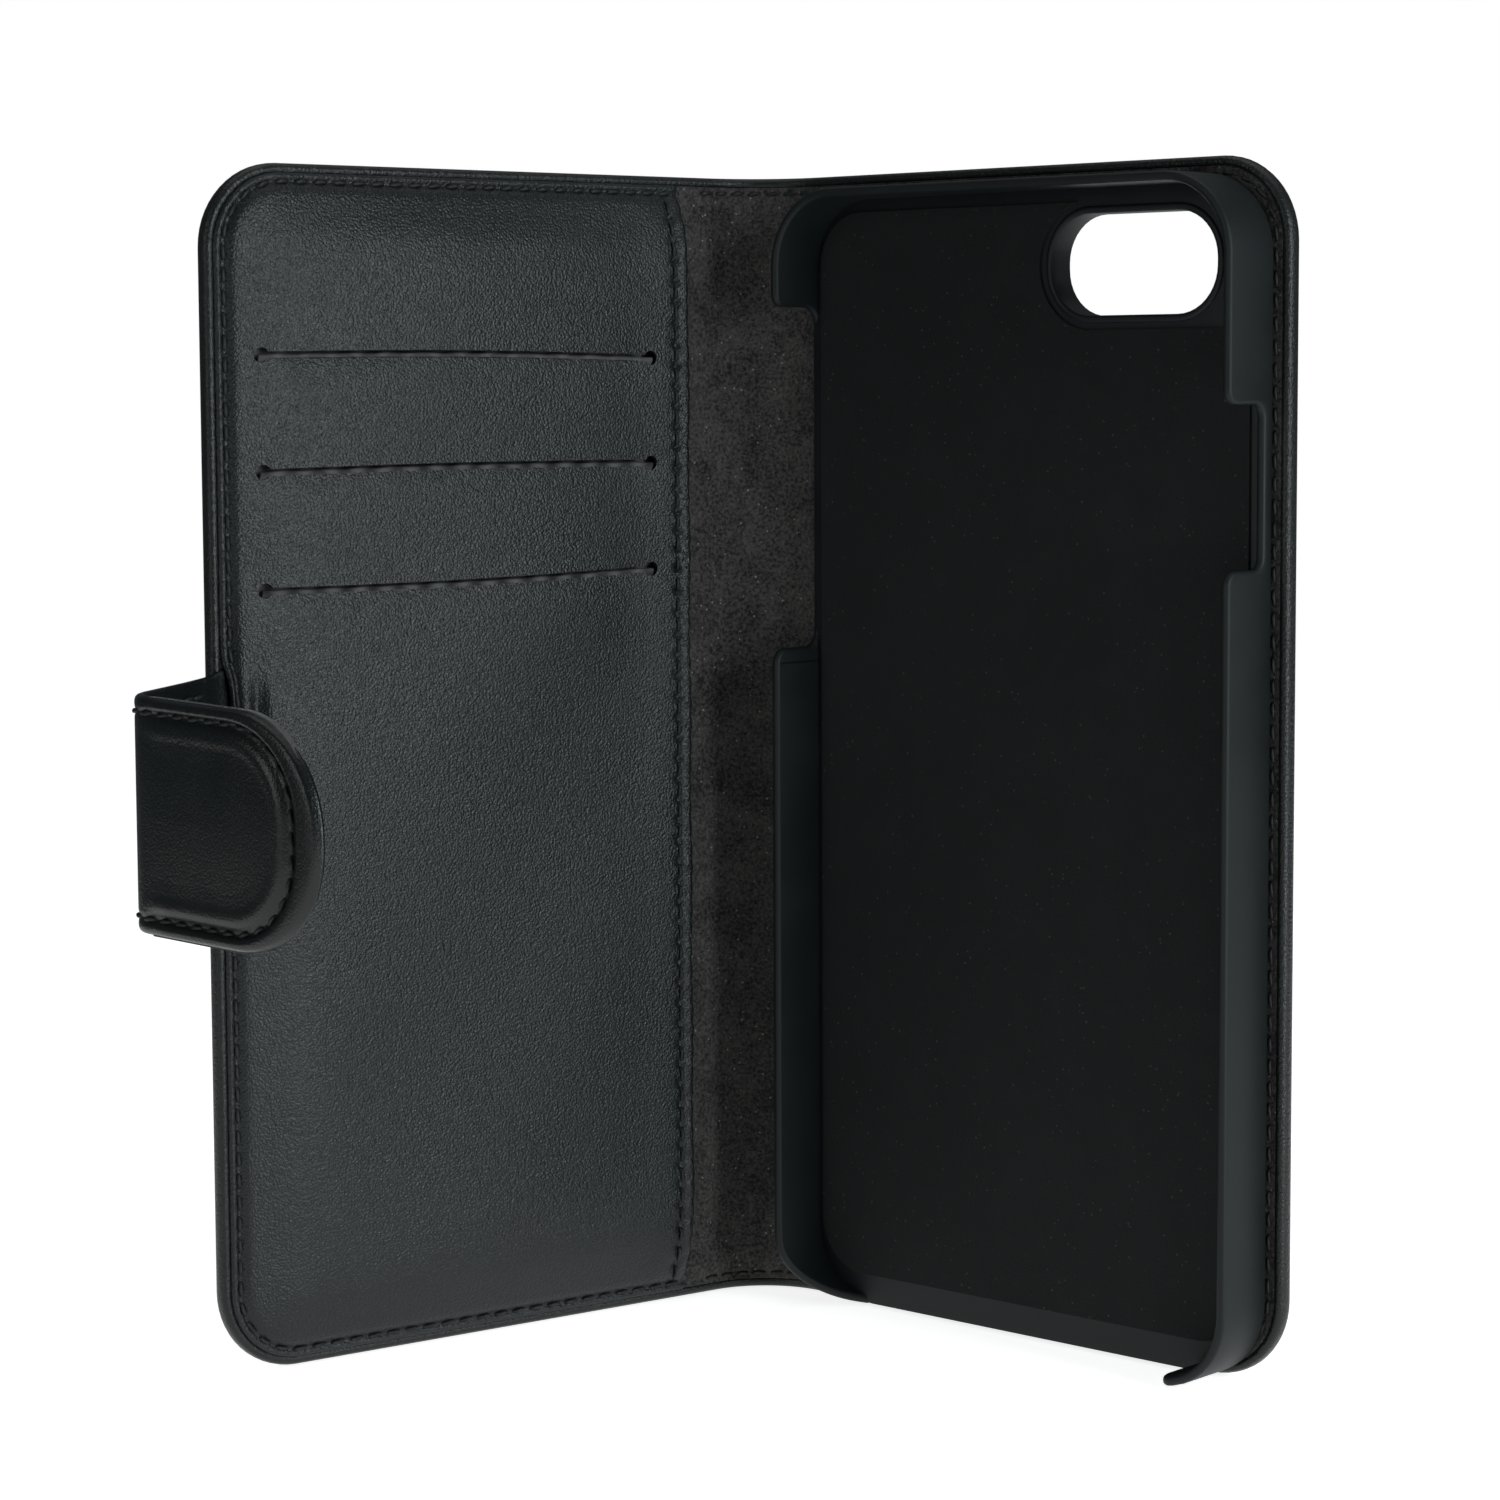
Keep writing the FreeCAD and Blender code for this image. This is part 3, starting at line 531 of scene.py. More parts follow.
def plastic(name, dark, light, rough=(0.42, 0.5), spark=0.02, metallic=0.0, size=0.16):
    """Moulded piece with a fine spark-eroded texture and faint handling marks."""
    m, nt, b, co = tree(name)
    tex = noise(nt, co, size, 2.0)
    slow = noise(nt, co, 18.0, 3.0, 0.55, 0.6)
    col = ramp(nt, slow, ((0.3, dark), (0.7, light)))
    nt.links.new(col, b.inputs["Base Color"])
    r = maths(nt, "MULTIPLY_ADD", tex, 0.1, remap(nt, slow, 0.3, 0.7, rough[0], rough[1]))
    nt.links.new(r, b.inputs["Roughness"])
    bump(nt, b, tex, spark, 1.0)
    b.inputs["Metallic"].default_value = metallic
    b.inputs["Specular IOR Level"].default_value = 0.22
    return m


def woven(name, dark, light, pitch_mm=0.42, rough=0.85):
    """Ribbed cloth: warp and weft ridges crossing, with yarn colour drifting."""
    m, nt, b, co = tree(name)
    waves = []
    for axis in ("X", "Z"):
        n = nt.nodes.new("ShaderNodeTexWave")
        n.wave_type = "BANDS"
        n.bands_direction = axis
        n.inputs["Scale"].default_value = 1000.0 / pitch_mm / 20
        n.inputs["Distortion"].default_value = 0.6
        n.inputs["Detail"].default_value = 1.0
        nt.links.new(co, n.inputs["Vector"])
        waves.append(n.outputs["Fac"])
    weave = maths(nt, "MAXIMUM", waves[0], maths(nt, "MULTIPLY", waves[1], 0.7))
    drift = noise(nt, co, 2.5, 2.0)
    tone = maths(nt, "MULTIPLY_ADD", drift, 0.4, maths(nt, "MULTIPLY", weave, 0.6))
    nt.links.new(ramp(nt, tone, ((0.2, dark), (0.85, light))), b.inputs["Base Color"])
    nt.links.new(remap(nt, weave, 0, 1, rough + 0.08, rough - 0.05), b.inputs["Roughness"])
    bump(nt, b, weave, 0.12, 1.0)
    b.inputs["Specular IOR Level"].default_value = 0.3
    return m


M_LEATHER = leather("panel_leather", (0.0036, 0.0052, 0.0056), (0.0068, 0.0090, 0.0100), (0.28, 0.36), 0.058, 0.33, wrinkle=0.02)
M_OUTER = leather("cover_leather", (0.0034, 0.0046, 0.0047), (0.0062, 0.0078, 0.0080), (0.31, 0.40), 0.046, 0.38, wrinkle=0.04)
M_STRAP = leather("strap_leather", (0.0022, 0.0036, 0.0034), (0.0046, 0.0064, 0.0061), (0.27, 0.34), 0.030, 0.33, coat=0.10)
M_SPINE = suede("spine_microfibre", (0.0035, 0.0035, 0.0035), (0.0600, 0.0576, 0.0550), dust=0.8, nap_mm=0.42, sheen=0.03)
M_LINER = suede("tray_microfibre", (0.0026, 0.0036, 0.0038), (0.0060, 0.0074, 0.0077), dust=0.2, nap_mm=0.28, sheen=0.03)
M_TRAY = plastic("soft_touch_shell", (0.0034, 0.0054, 0.0060), (0.0058, 0.0082, 0.0090), (0.44, 0.54), 0.018)
M_THREAD = woven("waxed_thread", (0.0016, 0.0019, 0.0020), (0.0075, 0.0082, 0.0085), 0.30, 0.60)
M_CLOTH = woven("ribbed_cloth", (0.0100, 0.0100, 0.0112), (0.0620, 0.0610, 0.0640), 0.45)
M_BOARD = woven("fibre_board", (0.10, 0.085, 0.065), (0.20, 0.17, 0.13), 0.8)
M_GLUE = plastic("glue_film", (0.42, 0.36, 0.22), (0.55, 0.48, 0.30), (0.25, 0.35), 0.03)
M_STEEL = plastic("steel_plate", (0.45, 0.46, 0.48), (0.58, 0.59, 0.60), (0.25, 0.38), 0.01, 1.0, 0.3)
M_MAGNET = plastic("magnet_nickel", (0.50, 0.49, 0.46), (0.62, 0.60, 0.57), (0.18, 0.28), 0.008, 1.0, 0.4)
M_FOAM = suede("foam_filler", (0.030, 0.030, 0.031), (0.060, 0.060, 0.062), nap_mm=0.6)

SLOT_MATERIAL = {
    "back_board": M_BOARD, "front_board": M_BOARD, "strap_catch_plate": M_STEEL, "tray_glue_sheet": M_GLUE,
    "tray_liner": M_LINER, "card_pocket_top": M_CLOTH, "card_pocket_middle": M_CLOTH,
    "card_pocket_bottom": M_CLOTH, "pocket_backing": M_CLOTH, "strap_tail": M_STRAP,
    "strap_tab_filler": M_FOAM, "strap_magnet": M_MAGNET, "phone_tray": M_TRAY,
}
for node, ob in frame["nodes"].items():
    mat = SLOT_MATERIAL.get(node, M_OUTER)
    if "stitching" in node:
        mat = M_THREAD
    ob.data.materials.clear()
    ob.data.materials.append(mat)
    ob.data.update()

BLEND_IN, BLEND_OUT = 2.4, 3.4          # the soft zone on the cover's side and the spine's side of a fold


def across_fold(ob):
    """ob runs from its cover round the spine's arc; this only bakes its placement into its mesh."""
    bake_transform(ob)


# ------------------------------------------------------------------ outer leather
WINDOW = rounded_rect(39.2, 63.2, 124.9, 136.9, 5.6, 10)
skin_out = [(1.12, -0.30), (1.08, 0.00), (0.85, 0.10), (0.50, 0.07), (0.22, -0.14), (0.06, -0.50), (0.0, -1.0),
            (0.02, -1.45), (0.16, -1.86), (0.42, -2.12), (0.85, -2.20), (1.30, -2.20), (1.62, -2.13), (1.95, -2.20),
            (3.0, -2.20), (5.5, -2.20), (10.0, -2.20)]
skin_in = [(1.08, -0.48), (1.02, -0.42), (0.92, -0.40), (0.80, -0.42), (0.68, -0.52), (0.58, -0.72), (0.55, -0.95),
           (0.56, -1.15), (0.62, -1.36), (0.75, -1.52), (0.95, -1.60), (1.30, -1.62), (1.62, -1.62), (1.95, -1.62),
           (3.0, -1.62), (5.5, -1.62), (10.0, -1.62)]


def half_cover(side, name, material, ring_top, ring_bottom, window):
    us = spread(U_MID, W_COVER - R_CORNER, 2.5, tuple(np.arange(U_MID, 4.0, 0.55)))
    vs = spread(R_CORNER, H_COVER - R_CORNER, 3.0)
    rings = [(a[0], a[1], b[0], b[1]) for a, b in zip(ring_top, ring_bottom)]
    verts, faces, _ = shell(rings, us, vs, W_COVER, 0, H_COVER, R_CORNER)
    if window:
        before = len(verts)
        verts, faces = cut_flat(verts, faces, [outline_prism(WINDOW, -6, 4)])
        print("window cut", name, before, len(verts))
    return new_object(name, place(side, verts[:, 0], verts[:, 1], verts[:, 2]), faces, material)


back_leather = half_cover("back", "cover_leather_back", M_OUTER, skin_out, skin_in, True)
front_leather = half_cover("front", "cover_leather_front", M_OUTER, skin_out, skin_in, False)

lin_top = [(1.14, -0.45), (1.15, -0.10), (1.25, -0.01), (1.6, -0.02), (1.95, -0.10), (2.3, -0.02), (3.0, 0.0), (5.5, 0.0), (10.0, 0.0)]
lin_low = [(1.16, -0.50), (1.20, -0.55), (1.30, -0.58), (1.6, -0.58), (1.95, -0.58), (2.3, -0.58), (3.0, -0.58), (5.5, -0.58), (10.0, -0.58)]
back_lining = half_cover("back", "lining_back", M_SPINE, lin_top, lin_low, True)
front_lining = half_cover("front", "lining_front", M_SPINE, lin_top, lin_low, False)
for ob, side in ((back_leather, "back"), (front_leather, "front"), (back_lining, "back"), (front_lining, "front")):
    across_fold(ob)
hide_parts("back_outer_skin", "spine_outer_skin")
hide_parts("front_outer_skin", "spine_outer_skin")
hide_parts("back_inner_lining", "spine_lining")
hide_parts("front_inner_lining", "spine_lining")

# ------------------------------------------------------------------ card panel
P0, P1, PV0, PV1, PR = 5.9, 71.3, 1.1, 141.9, 8.9
SLITS = (120.5, 107.2, 93.7)
SLIT_U = (11.9, 66.1)
HEM_SEAM = 8.0
edge_profile = np.array([(0.0, 0.12), (0.12, 0.36), (0.3, 0.50), (0.55, 0.53), (0.8, 0.42), (1.05, 0.32), (1.3, 0.44),
                         (1.6, 0.78), (1.95, 1.06), (2.4, 1.22), (3.2, 1.38), (4.2, 1.56), (5.6, 1.81), (7.6, 2.12), (10.5, 2.40), (14.0, 2.50), (20.0, 2.53), (90.0, 2.53)])
hem_profile = np.array([(P0, 0.20), (P0 + .15, 0.48), (P0 + .35, 0.64), (P0 + .6, 0.70), (P0 + .95, 0.66), (P0 + 1.4, 0.57), (HEM_SEAM - .3, 0.46),
                        (HEM_SEAM, 0.38), (HEM_SEAM + .4, 0.34), (HEM_SEAM + .9, 0.32), (HEM_SEAM + 1.6, 0.28),
                        (HEM_SEAM + 3.0, 0.18), (HEM_SEAM + 4.5, 0.08), (HEM_SEAM + 6.5, 0.0), (80, 0.0)])


def smooth_noise(u, v):
    """Slow swells of the leather over the pocket, in mm."""
    return (0.16 * np.sin(u / 15.5 + v / 21.0 + 0.4) + 0.12 * np.sin(u / 10.5 - v / 31.0 + 1.9)
            + 0.07 * np.sin(u / 6.1 + v / 9.7) + 0.05 * np.sin(v / 6.3 - u / 12.0 + 2.2))


def panel_top(u, v):
    d = edge_distance(u, v, P1, PV0, PV1, PR)
    w = np.interp(d, edge_profile[:, 0], edge_profile[:, 1])
    inner = np.clip((d - 2.0) / 9.0, 0, 1) * np.clip((u - P0 - 2.5) / 9.0, 0, 1)
    rise = np.clip((d - 0.4) / 4.4, 0.12, 1)
    corner_low = 1 - 0.35 * np.clip((11.0 - u) / 6.0, 0, 1) * np.clip((6.0 - d) / 4.0, 0, 1)
    w = w * corner_low
    w = w + np.interp(u, hem_profile[:, 0], hem_profile[:, 1]) * rise
    w = w + smooth_noise(u, v) * inner
    crown = 1 - ((u - 37.0) / 34.0) ** 2
    w = w + 0.62 * np.clip(crown, 0, 1) * np.clip((d - 1.4) / 6.0, 0, 1)
    # the stitches gather the hem
    beat = 2 * math.pi * (v - (PV1 - 1.6)) / 2.6
    w = w - 0.46 * rise * (0.5 + 0.5 * np.cos(beat)) ** 3 * np.exp(-((u - HEM_SEAM) / 0.42) ** 2)
    bead = np.exp(-((u - HEM_SEAM + 1.05) / 0.7) ** 2) * rise
    w = w + bead * (0.10 * np.cos(beat + 0.9) + 0.05 * np.sin(v * 0.9 + 0.5))
    # the strap's root lies under the border here
    over = 1 / (1 + np.exp((np.abs(v - 69.7) - 14.6) / 0.5))
    w = w + 0.75 * over * np.exp(-(d / 2.6) ** 2)
    for vs_ in SLITS:
        along = np.clip((u - SLIT_U[0] + 1.5) / 6, 0, 1) * np.clip((SLIT_U[1] + 1.5 - u) / 6, 0, 1)
        below = np.where(v <= vs_, np.exp(-(vs_ - v) / 3.0), 0)
        above = np.where(v > vs_, np.exp(-(v - vs_) / 2.2), 0)
        skew = 0.55 + 0.45 * np.clip((SLIT_U[1] - u) / (SLIT_U[1] - SLIT_U[0]), 0, 1)
        w = w - 0.80 * below * along * (1.45 - skew) + 0.22 * above * along
    # the pull of the strap's root on the panel
    g = np.exp(-((v - 79.0) / 3.6) ** 2)
    w = w - 0.50 * g * np.exp(-((u - 67.4) / 0.8) ** 2) + 0.22 * g * np.exp(-((u - 65.6) / 1.0) ** 2)
    w = w - 0.14 * np.exp(-((v - 84.0) / 5.0) ** 2) * np.exp(-((u - 62.0) / 3.4) ** 2)
    # a long slack fold running down from the spine side
    ridge = (v - 96.0) - (u - 14.0) * -0.62
    w = w + 0.12 * np.exp(-(ridge / 9.0) ** 2) * inner
    return w


def pull(u, v):
    """The strap drags the panel's border inwards round its root, in mm along u."""
    d = edge_distance(u, v, P1, PV0, PV1, PR)
    over = 1 / (1 + np.exp((np.abs(v - 69.7) - 13.6) / 1.1))
    return -0.95 * over * np.exp(-d / 2.6)


def panel_low(u, v):
    d = edge_distance(u, v, P1, PV0, PV1, PR)
    top = panel_top(u, v)
    t = np.interp(d, (0.0, 0.12, 0.5, 1.6, 2.4, 90), (0.06, 0.32, 0.42, 0.45, 0.55, 0.6))
    t = t + np.interp(u, (P0, P0 + 0.5, P0 + 2.5, P0 + 4.6, P0 + 5.2, 90), (0.45, 0.55, 0.62, 0.5, 0.0, 0.0)) * np.clip(d / 2.5, 0, 1)
    return np.maximum(top - t, 0.02)


fine_v = [s + q for s in SLITS for q in (-6, -4.5, -3.3, -2.4, -1.7, -1.15, -0.75, -0.45, 0.45, 0.75, 1.15, 1.8, 2.8, 4.2)]
fine_v += list(np.arange(70, 92, 1.1))
fine_u = list(P0 + np.array([.08, .2, .4, .7, 1.0, 1.25, 1.5, 1.7, 1.85, 2.0, 2.15, 2.35, 2.6, 3.1, 3.6, 4.1, 4.7, 5.4, 6.2])) + list(np.arange(9.4, 14, 0.8))
vs = spread(PV0 + PR, PV1 - PR, 0.52, tuple(fine_v))
us = spread(P0, P1 - PR, 1.9, tuple(fine_u))
ds = [0.0, 0.06, 0.15, 0.3, 0.5, 0.7, 0.85, 1.0, 1.15, 1.35, 1.6, 1.9, 2.3, 2.75, 3.1, 3.5, 3.8, 4.2, 4.7, 5.2, 5.7, 6.3, 7.1, 8.0, PR]
verts, faces, layer = shell([(d, 3.0, d, 0.0) for d in ds], us, vs, P1, PV0, PV1, PR)
lift = np.where(layer == 0, panel_top(verts[:, 0], verts[:, 2]), panel_low(verts[:, 0], verts[:, 2]))
# round the fold of the hem
near = np.clip((verts[:, 0] - P0) / 0.55, 0, 1)
midw = (panel_top(verts[:, 0], verts[:, 2]) + panel_low(verts[:, 0], verts[:, 2])) / 2
lift = midw + (lift - midw) * np.sqrt(np.maximum(1 - (1 - near) ** 2, 0.0))
verts[:, 1] = lift
n0 = len(verts)
verts, faces = cut_flat(verts, faces, [outline_prism(slot_outline(SLIT_U[0], SLIT_U[1], s, 0.40, 0.90), 0.2, 6) for s in SLITS])
print("slits cut", n0, len(verts))
u_, v_ = verts[:, 0].copy(), verts[:, 2].copy()
for k, s in enumerate(SLITS):               # the slits bow a little
    bow = (0.35, 0.25, -0.30)[k] * np.sin(np.clip((u_ - SLIT_U[0]) / (SLIT_U[1] - SLIT_U[0]), 0, 1) * math.pi)
    verts[:, 2] += bow * np.exp(-((v_ - s) / 4.0) ** 2) + (0.15, -0.18, -0.5)[k] * (u_ - 38) / 27 * np.exp(-((v_ - s) / 4.0) ** 2)
verts[:, 0] += pull(u_, v_)
verts[:, 0] += (0.09 * np.cos(2 * math.pi * v_ / 2.6) + 0.10 * np.sin(v_ * 0.31)) * np.exp(-((u_ - P0) / 1.3) ** 2)
panel = new_object("card_panel_leather", place("front", verts[:, 0], verts[:, 1], verts[:, 2]), faces, M_LEATHER, 42)
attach(panel, "front_cover")
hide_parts("card_panel", "card_panel_hem")

# ribbed pocket lips seen inside the slits
for k, s in enumerate(SLITS):
    verts, faces = [], []
    cols = np.linspace(SLIT_U[0] - 0.3, SLIT_U[1] + 0.3, 150)
    prof = [(-1.4, -0.22), (-0.7, -0.14), (-0.42, 0.06), (-0.2, 0.17), (0.0, 0.13), (0.10, -0.05), (0.04, -0.25), (-0.3, -0.42), (-1.4, -0.42)]
    for i, u in enumerate(cols):
        tt = (u - SLIT_U[0]) / (SLIT_U[1] - SLIT_U[0])
        bow = (0.35, 0.25, -0.30)[k] * math.sin(min(max(tt, 0), 1) * math.pi) + (0.15, -0.18, -0.5)[k] * (u - 38) / 27
        lvl = float(panel_top(np.array([u]), np.array([s - 0.5]))[0]) - 0.04
        rib = 0.05 * math.sin(u * 9.0)
        for q, w in prof:
            verts.append((u, max(lvl + w + rib * (w > 0), 0.9), s + q + bow + 0.04 * math.sin(u * 1.3 + k)))
    n = len(prof)
    for i in range(len(cols) - 1):
        faces += [(i * n + j, i * n + (j + 1) % n, (i + 1) * n + (j + 1) % n, (i + 1) * n + j) for j in range(n)]
    faces += [tuple(range(n)), tuple(range((len(cols) - 1) * n, len(cols) * n))]
    verts = np.array(verts)
    lip = new_object("pocket_lip_%d" % (k + 1), place("front", verts[:, 0], verts[:, 1], verts[:, 2]), faces, M_CLOTH, 50)
    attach(lip, "front_cover")

# ------------------------------------------------------------------ phone tray
T0, T1, TV0, TV1, TR = 0.95, 70.55, 0.1, 141.0, 9.5
FLOOR0, FLOOR1, WALL, TOP = 0.2, 1.2, 1.15, 9.2


def tray_path():
    """Stations round the tray from the port gap's left end, clockwise to its right end: s, u, v, outward normal."""
    segs = []
    quarter = math.pi / 2 * TR
    segs.append(("line", (10.5, TV0), (T0 + TR, TV0), (0, -1)))
    segs.append(("arc", (T0 + TR, TV0 + TR), -90, -180))
    segs.append(("line", (T0, TV0 + TR), (T0, TV1 - TR), (-1, 0)))
    segs.append(("arc", (T0 + TR, TV1 - TR), 180, 90))
    segs.append(("line", (T0 + TR, TV1), (T1 - TR, TV1), (0, 1)))
    segs.append(("arc", (T1 - TR, TV1 - TR), 90, 0))
    segs.append(("line", (T1, TV1 - TR), (T1, TV0 + TR), (1, 0)))
    segs.append(("arc", (T1 - TR, TV0 + TR), 0, -90))
    segs.append(("line", (T1 - TR, TV0), (63.0 - 2.0, TV0), (0, -1)))
    marks = [0.0]
    for s in segs:
        marks.append(marks[-1] + (quarter if s[0] == "arc" else math.dist(s[1], s[2])))

    def at(s):
        s = min(max(s, 0.0), marks[-1] - 1e-9)
        i = max(k for k in range(len(segs)) if marks[k] <= s + 1e-12)
        g, t = segs[i], (s - marks[i])
        if g[0] == "line":
            L = max(math.dist(g[1], g[2]), 1e-9)
            f = t / L
            return (g[1][0] + (g[2][0] - g[1][0]) * f, g[1][1] + (g[2][1] - g[1][1]) * f), g[3]
        a = math.radians(g[2] + (g[3] - g[2]) * t / quarter)
        n = (math.cos(a), math.sin(a))
        return (g[1][0] + TR * n[0], g[1][1] + TR * n[1]), n

    return at, marks


at_tray, tray_marks = tray_path()
S_LEFT = tray_marks[2]                     # start of the left side, at v = TV0 + TR
S_RIGHT = tray_marks[6]                    # start of the right side, at v = TV1 - TR
S_END = tray_marks[-1]


def left_s(v):
    return S_LEFT + (v - TV0 - TR)


def right_s(v):
    return S_RIGHT + (TV1 - TR - v)


def silhouette():
    """The wall's height seen from the side, as (s, level) with its rounded ends."""
    pts = []

    def corner(s_end, high, low, sign, r1=1.7, r2=1.6, rev=False):
        q = []
        for k in range(9):
            t = math.pi / 2 * k / 8
            q.append((s_end - sign * (r1 - r1 * math.sin(t)), high - r1 + r1 * math.cos(t)))
        for z in np.linspace(high - r1, low + r2, 5)[1:-1]:
            q.append((s_end, z))
        for k in range(9):
            t = math.pi / 2 * k / 8
            q.append((s_end + sign * (r2 - r2 * math.cos(t)), low + r2 - r2 * math.sin(t)))
        return q[::-1] if rev else q

    low_l = FLOOR1 - 0.02
    # the left wall fades out round the lower corner
    for s in np.linspace(0.6, 13.5, 22):
        f = (s - 0.6) / 12.9
        f = f * f * (3 - 2 * f)
        pts.append((s, low_l + (TOP - low_l) * f ** 0.62))
    pts += [(s, TOP) for s in np.linspace(13.9, left_s(84.0) - 1.75, 30)]
    pts += corner(left_s(84.0), TOP, low_l, 1, 1.9, 2.2)
    pts += [(s, low_l) for s in np.linspace(left_s(84.0) + 2.4, left_s(126.6) - 2.4, 12)]
    pts += corner(left_s(126.6), TOP, low_l, -1, 1.5, 2.2, rev=True)
    pts += [(s, TOP) for s in np.linspace(left_s(126.6) + 1.6, right_s(114.4) - 1.75, 90)]
    pts += corner(right_s(114.4), TOP, 2.4, 1, 1.7, 1.5)
    pts += [(s, 2.4) for s in np.linspace(right_s(114.4) + 1.6, right_s(95.6) - 1.6, 8)]
    pts += corner(right_s(95.6), TOP, 2.4, -1, 1.7, 1.5, rev=True)
    pts += [(s, TOP) for s in np.linspace(right_s(95.6) + 1.8, S_END - 2.2, 60)]
    for k in range(1, 10):
        t = math.pi / 2 * k / 9
        pts.append((S_END - 2.0 + 2.0 * math.sin(t), TOP - 2.6 + 2.6 * math.cos(t)))
    for z in np.linspace(TOP - 2.6, 2.8, 5)[1:]:
        pts.append((S_END, z))
    for k in range(1, 8):
        t = math.pi / 2 * k / 7
        pts.append((S_END - 1.2 * (1 - math.cos(t)), 2.8 - 1.4 * math.sin(t)))
    return np.array(pts)


sil = silhouette()
keep = [0]
for i in range(1, len(sil)):
    if np.hypot(*(sil[i] - sil[keep[-1]])) > 0.05:
        keep.append(i)
sil = sil[keep]
tan = np.gradient(sil, axis=0)
tan /= np.linalg.norm(tan, axis=1)[:, None]
nrm = np.stack([-tan[:, 1], tan[:, 0]], -1)
RR = 0.5                                   # rounding of the rim
verts, faces = [], []
section = [(0.0, RR)] + [(RR - RR * math.cos(math.radians(t)), RR - RR * math.sin(math.radians(t))) for t in (22, 45, 67, 90)]
section += [(WALL - q[0], q[1]) for q in section[::-1]]
cols = []
for i in range(len(sil)):
    ids = []
    for t, inset in section:
        s, z = sil[i] - nrm[i] * inset
        z = max(z, FLOOR0 + 0.15)
        (pu, pv), n = at_tray(s)
        ids.append(len(verts))
        verts.append((pu - n[0] * t, z, pv - n[1] * t))
    (pu, pv), n = at_tray(sil[i, 0] - nrm[i, 0] * RR)
    foot_in = [(WALL, FLOOR1 - 0.1), (WALL - 0.05, FLOOR0 + 0.05)]
    foot_out = [(0.9, FLOOR0), (0.5, FLOOR0 + 0.1), (0.2, FLOOR0 + 0.32), (0.03, FLOOR0 + 0.62)]
    ztop = verts[ids[0]][1]
    for t, z in foot_in + foot_out:
        ids.append(len(verts))
        verts.append((pu - n[0] * t, min(z, ztop), pv - n[1] * t))
    cols.append(ids)
m = len(cols[0])
for a, b in zip(cols, cols[1:]):
    faces += [(a[j], a[(j + 1) % m], b[(j + 1) % m], b[j]) for j in range(m)]
faces += [tuple(cols[0]), tuple(cols[-1])]
verts = np.array(verts)
wall = new_object("tray_wall", place("back", verts[:, 0], verts[:, 1], verts[:, 2]), faces, M_TRAY, 50)
# the floor, with the lens window
outline = rounded_rect(T0 + 0.25, T1 - 0.25, TV0 + 0.12, TV1 - 0.25, TR - 0.25, 12)
fv, ff = [], []
n = len(outline)
ou = np.array(outline)
cen = ou.mean(0)
for inset, z in ((0.9, FLOOR0), (0.35, FLOOR0 + 0.12), (0.0, FLOOR0 + 0.5), (0.0, FLOOR1 - 0.25), (0.08, FLOOR1 - 0.06), (0.25, FLOOR1)):
    sc = 1 - inset / 35.0
    sv = 1 - inset / 70.0
    for p in ou:
        fv.append((cen[0] + (p[0] - cen[0]) * sc, z, cen[1] + (p[1] - cen[1]) * sv))
for k in range(5):
    ff += [(k * n + i, k * n + (i + 1) % n, (k + 1) * n + (i + 1) % n, (k + 1) * n + i) for i in range(n)]
ff += [tuple(range(n)), tuple(range(5 * n, 6 * n))]
fv, ff = cut_flat(np.array(fv), ff, [outline_prism(WINDOW, -6, 6)])
floor_ob = new_object("tray_floor", place("back", fv[:, 0], fv[:, 1], fv[:, 2]), ff, M_TRAY, 40)
for ob in (wall, floor_ob):
    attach(ob, "back_cover")
    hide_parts("phone_tray")

# a raised bead round the lens window, and the window's own lining tube
tube_v, tube_f = [], []
prof = [(0.0, -2.15), (0.0, 1.25), (0.12, 1.42), (0.45, 1.5), (0.8, 1.42), (0.9, 1.25), (0.9, 1.15), (0.32, 1.1), (0.32, -2.15)]
wn = len(WINDOW)
wo = np.array(WINDOW)
wc = wo.mean(0)
wnorm = []
for i in range(wn):
    t = wo[(i + 1) % wn] - wo[i - 1]
    nn = np.array([t[1], -t[0]]) / (np.linalg.norm(t) + 1e-9)
    if np.dot(nn, wo[i] - wc) < 0:
        nn = -nn
    wnorm.append(nn)
wnorm = np.array(wnorm)
for q, z in prof:
    p = wo + wnorm * (q - 0.02)
    tube_v += [(p[i, 0], z, p[i, 1]) for i in range(wn)]
k_ = len(prof)
for a in range(k_):
    b = (a + 1) % k_
    tube_f += [(a * wn + i, a * wn + (i + 1) % wn, b * wn + (i + 1) % wn, b * wn + i) for i in range(wn)]
tube_v = np.array(tube_v)
bead = new_object("window_bead", place("back", tube_v[:, 0], tube_v[:, 1], tube_v[:, 2]), tube_f, M_TRAY, 50)
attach(bead, "back_cover")

# ------------------------------------------------------------------ strap
HALF = TAB_W / 2


def strap_section(flare=0.0, thick=1.4, crown=0.0):
    """A rounded flat section as (off, h) points, outer face first."""
    pts = []
    r = thick / 2
    hh = HALF + flare
    ks = np.linspace(-1, 1, 25)
    for k in ks:                                            # outer face, bottom to top
        pts.append((-r, k * (hh - r), "o"))
    for t in (60, 30, 0, -30, -60):
        pts.append((-r * math.sin(math.radians(t)), hh - r + r * math.cos(math.radians(t)), "e"))
    for k in ks[::-1]:
        pts.append((r, k * (hh - r), "i"))
    for t in (-60, -30, 0, 30, 60):
        pts.append((-r * math.sin(math.radians(t)), -(hh - r) - r * math.cos(math.radians(t)), "e"))
    return pts


SEAM = 1.9
S_SPLIT = 7.6


def seam_dip(h, depth=0.16, half=HALF):
    d = half - abs(h)
    return depth * math.exp(-((d - SEAM) / 0.42) ** 2)


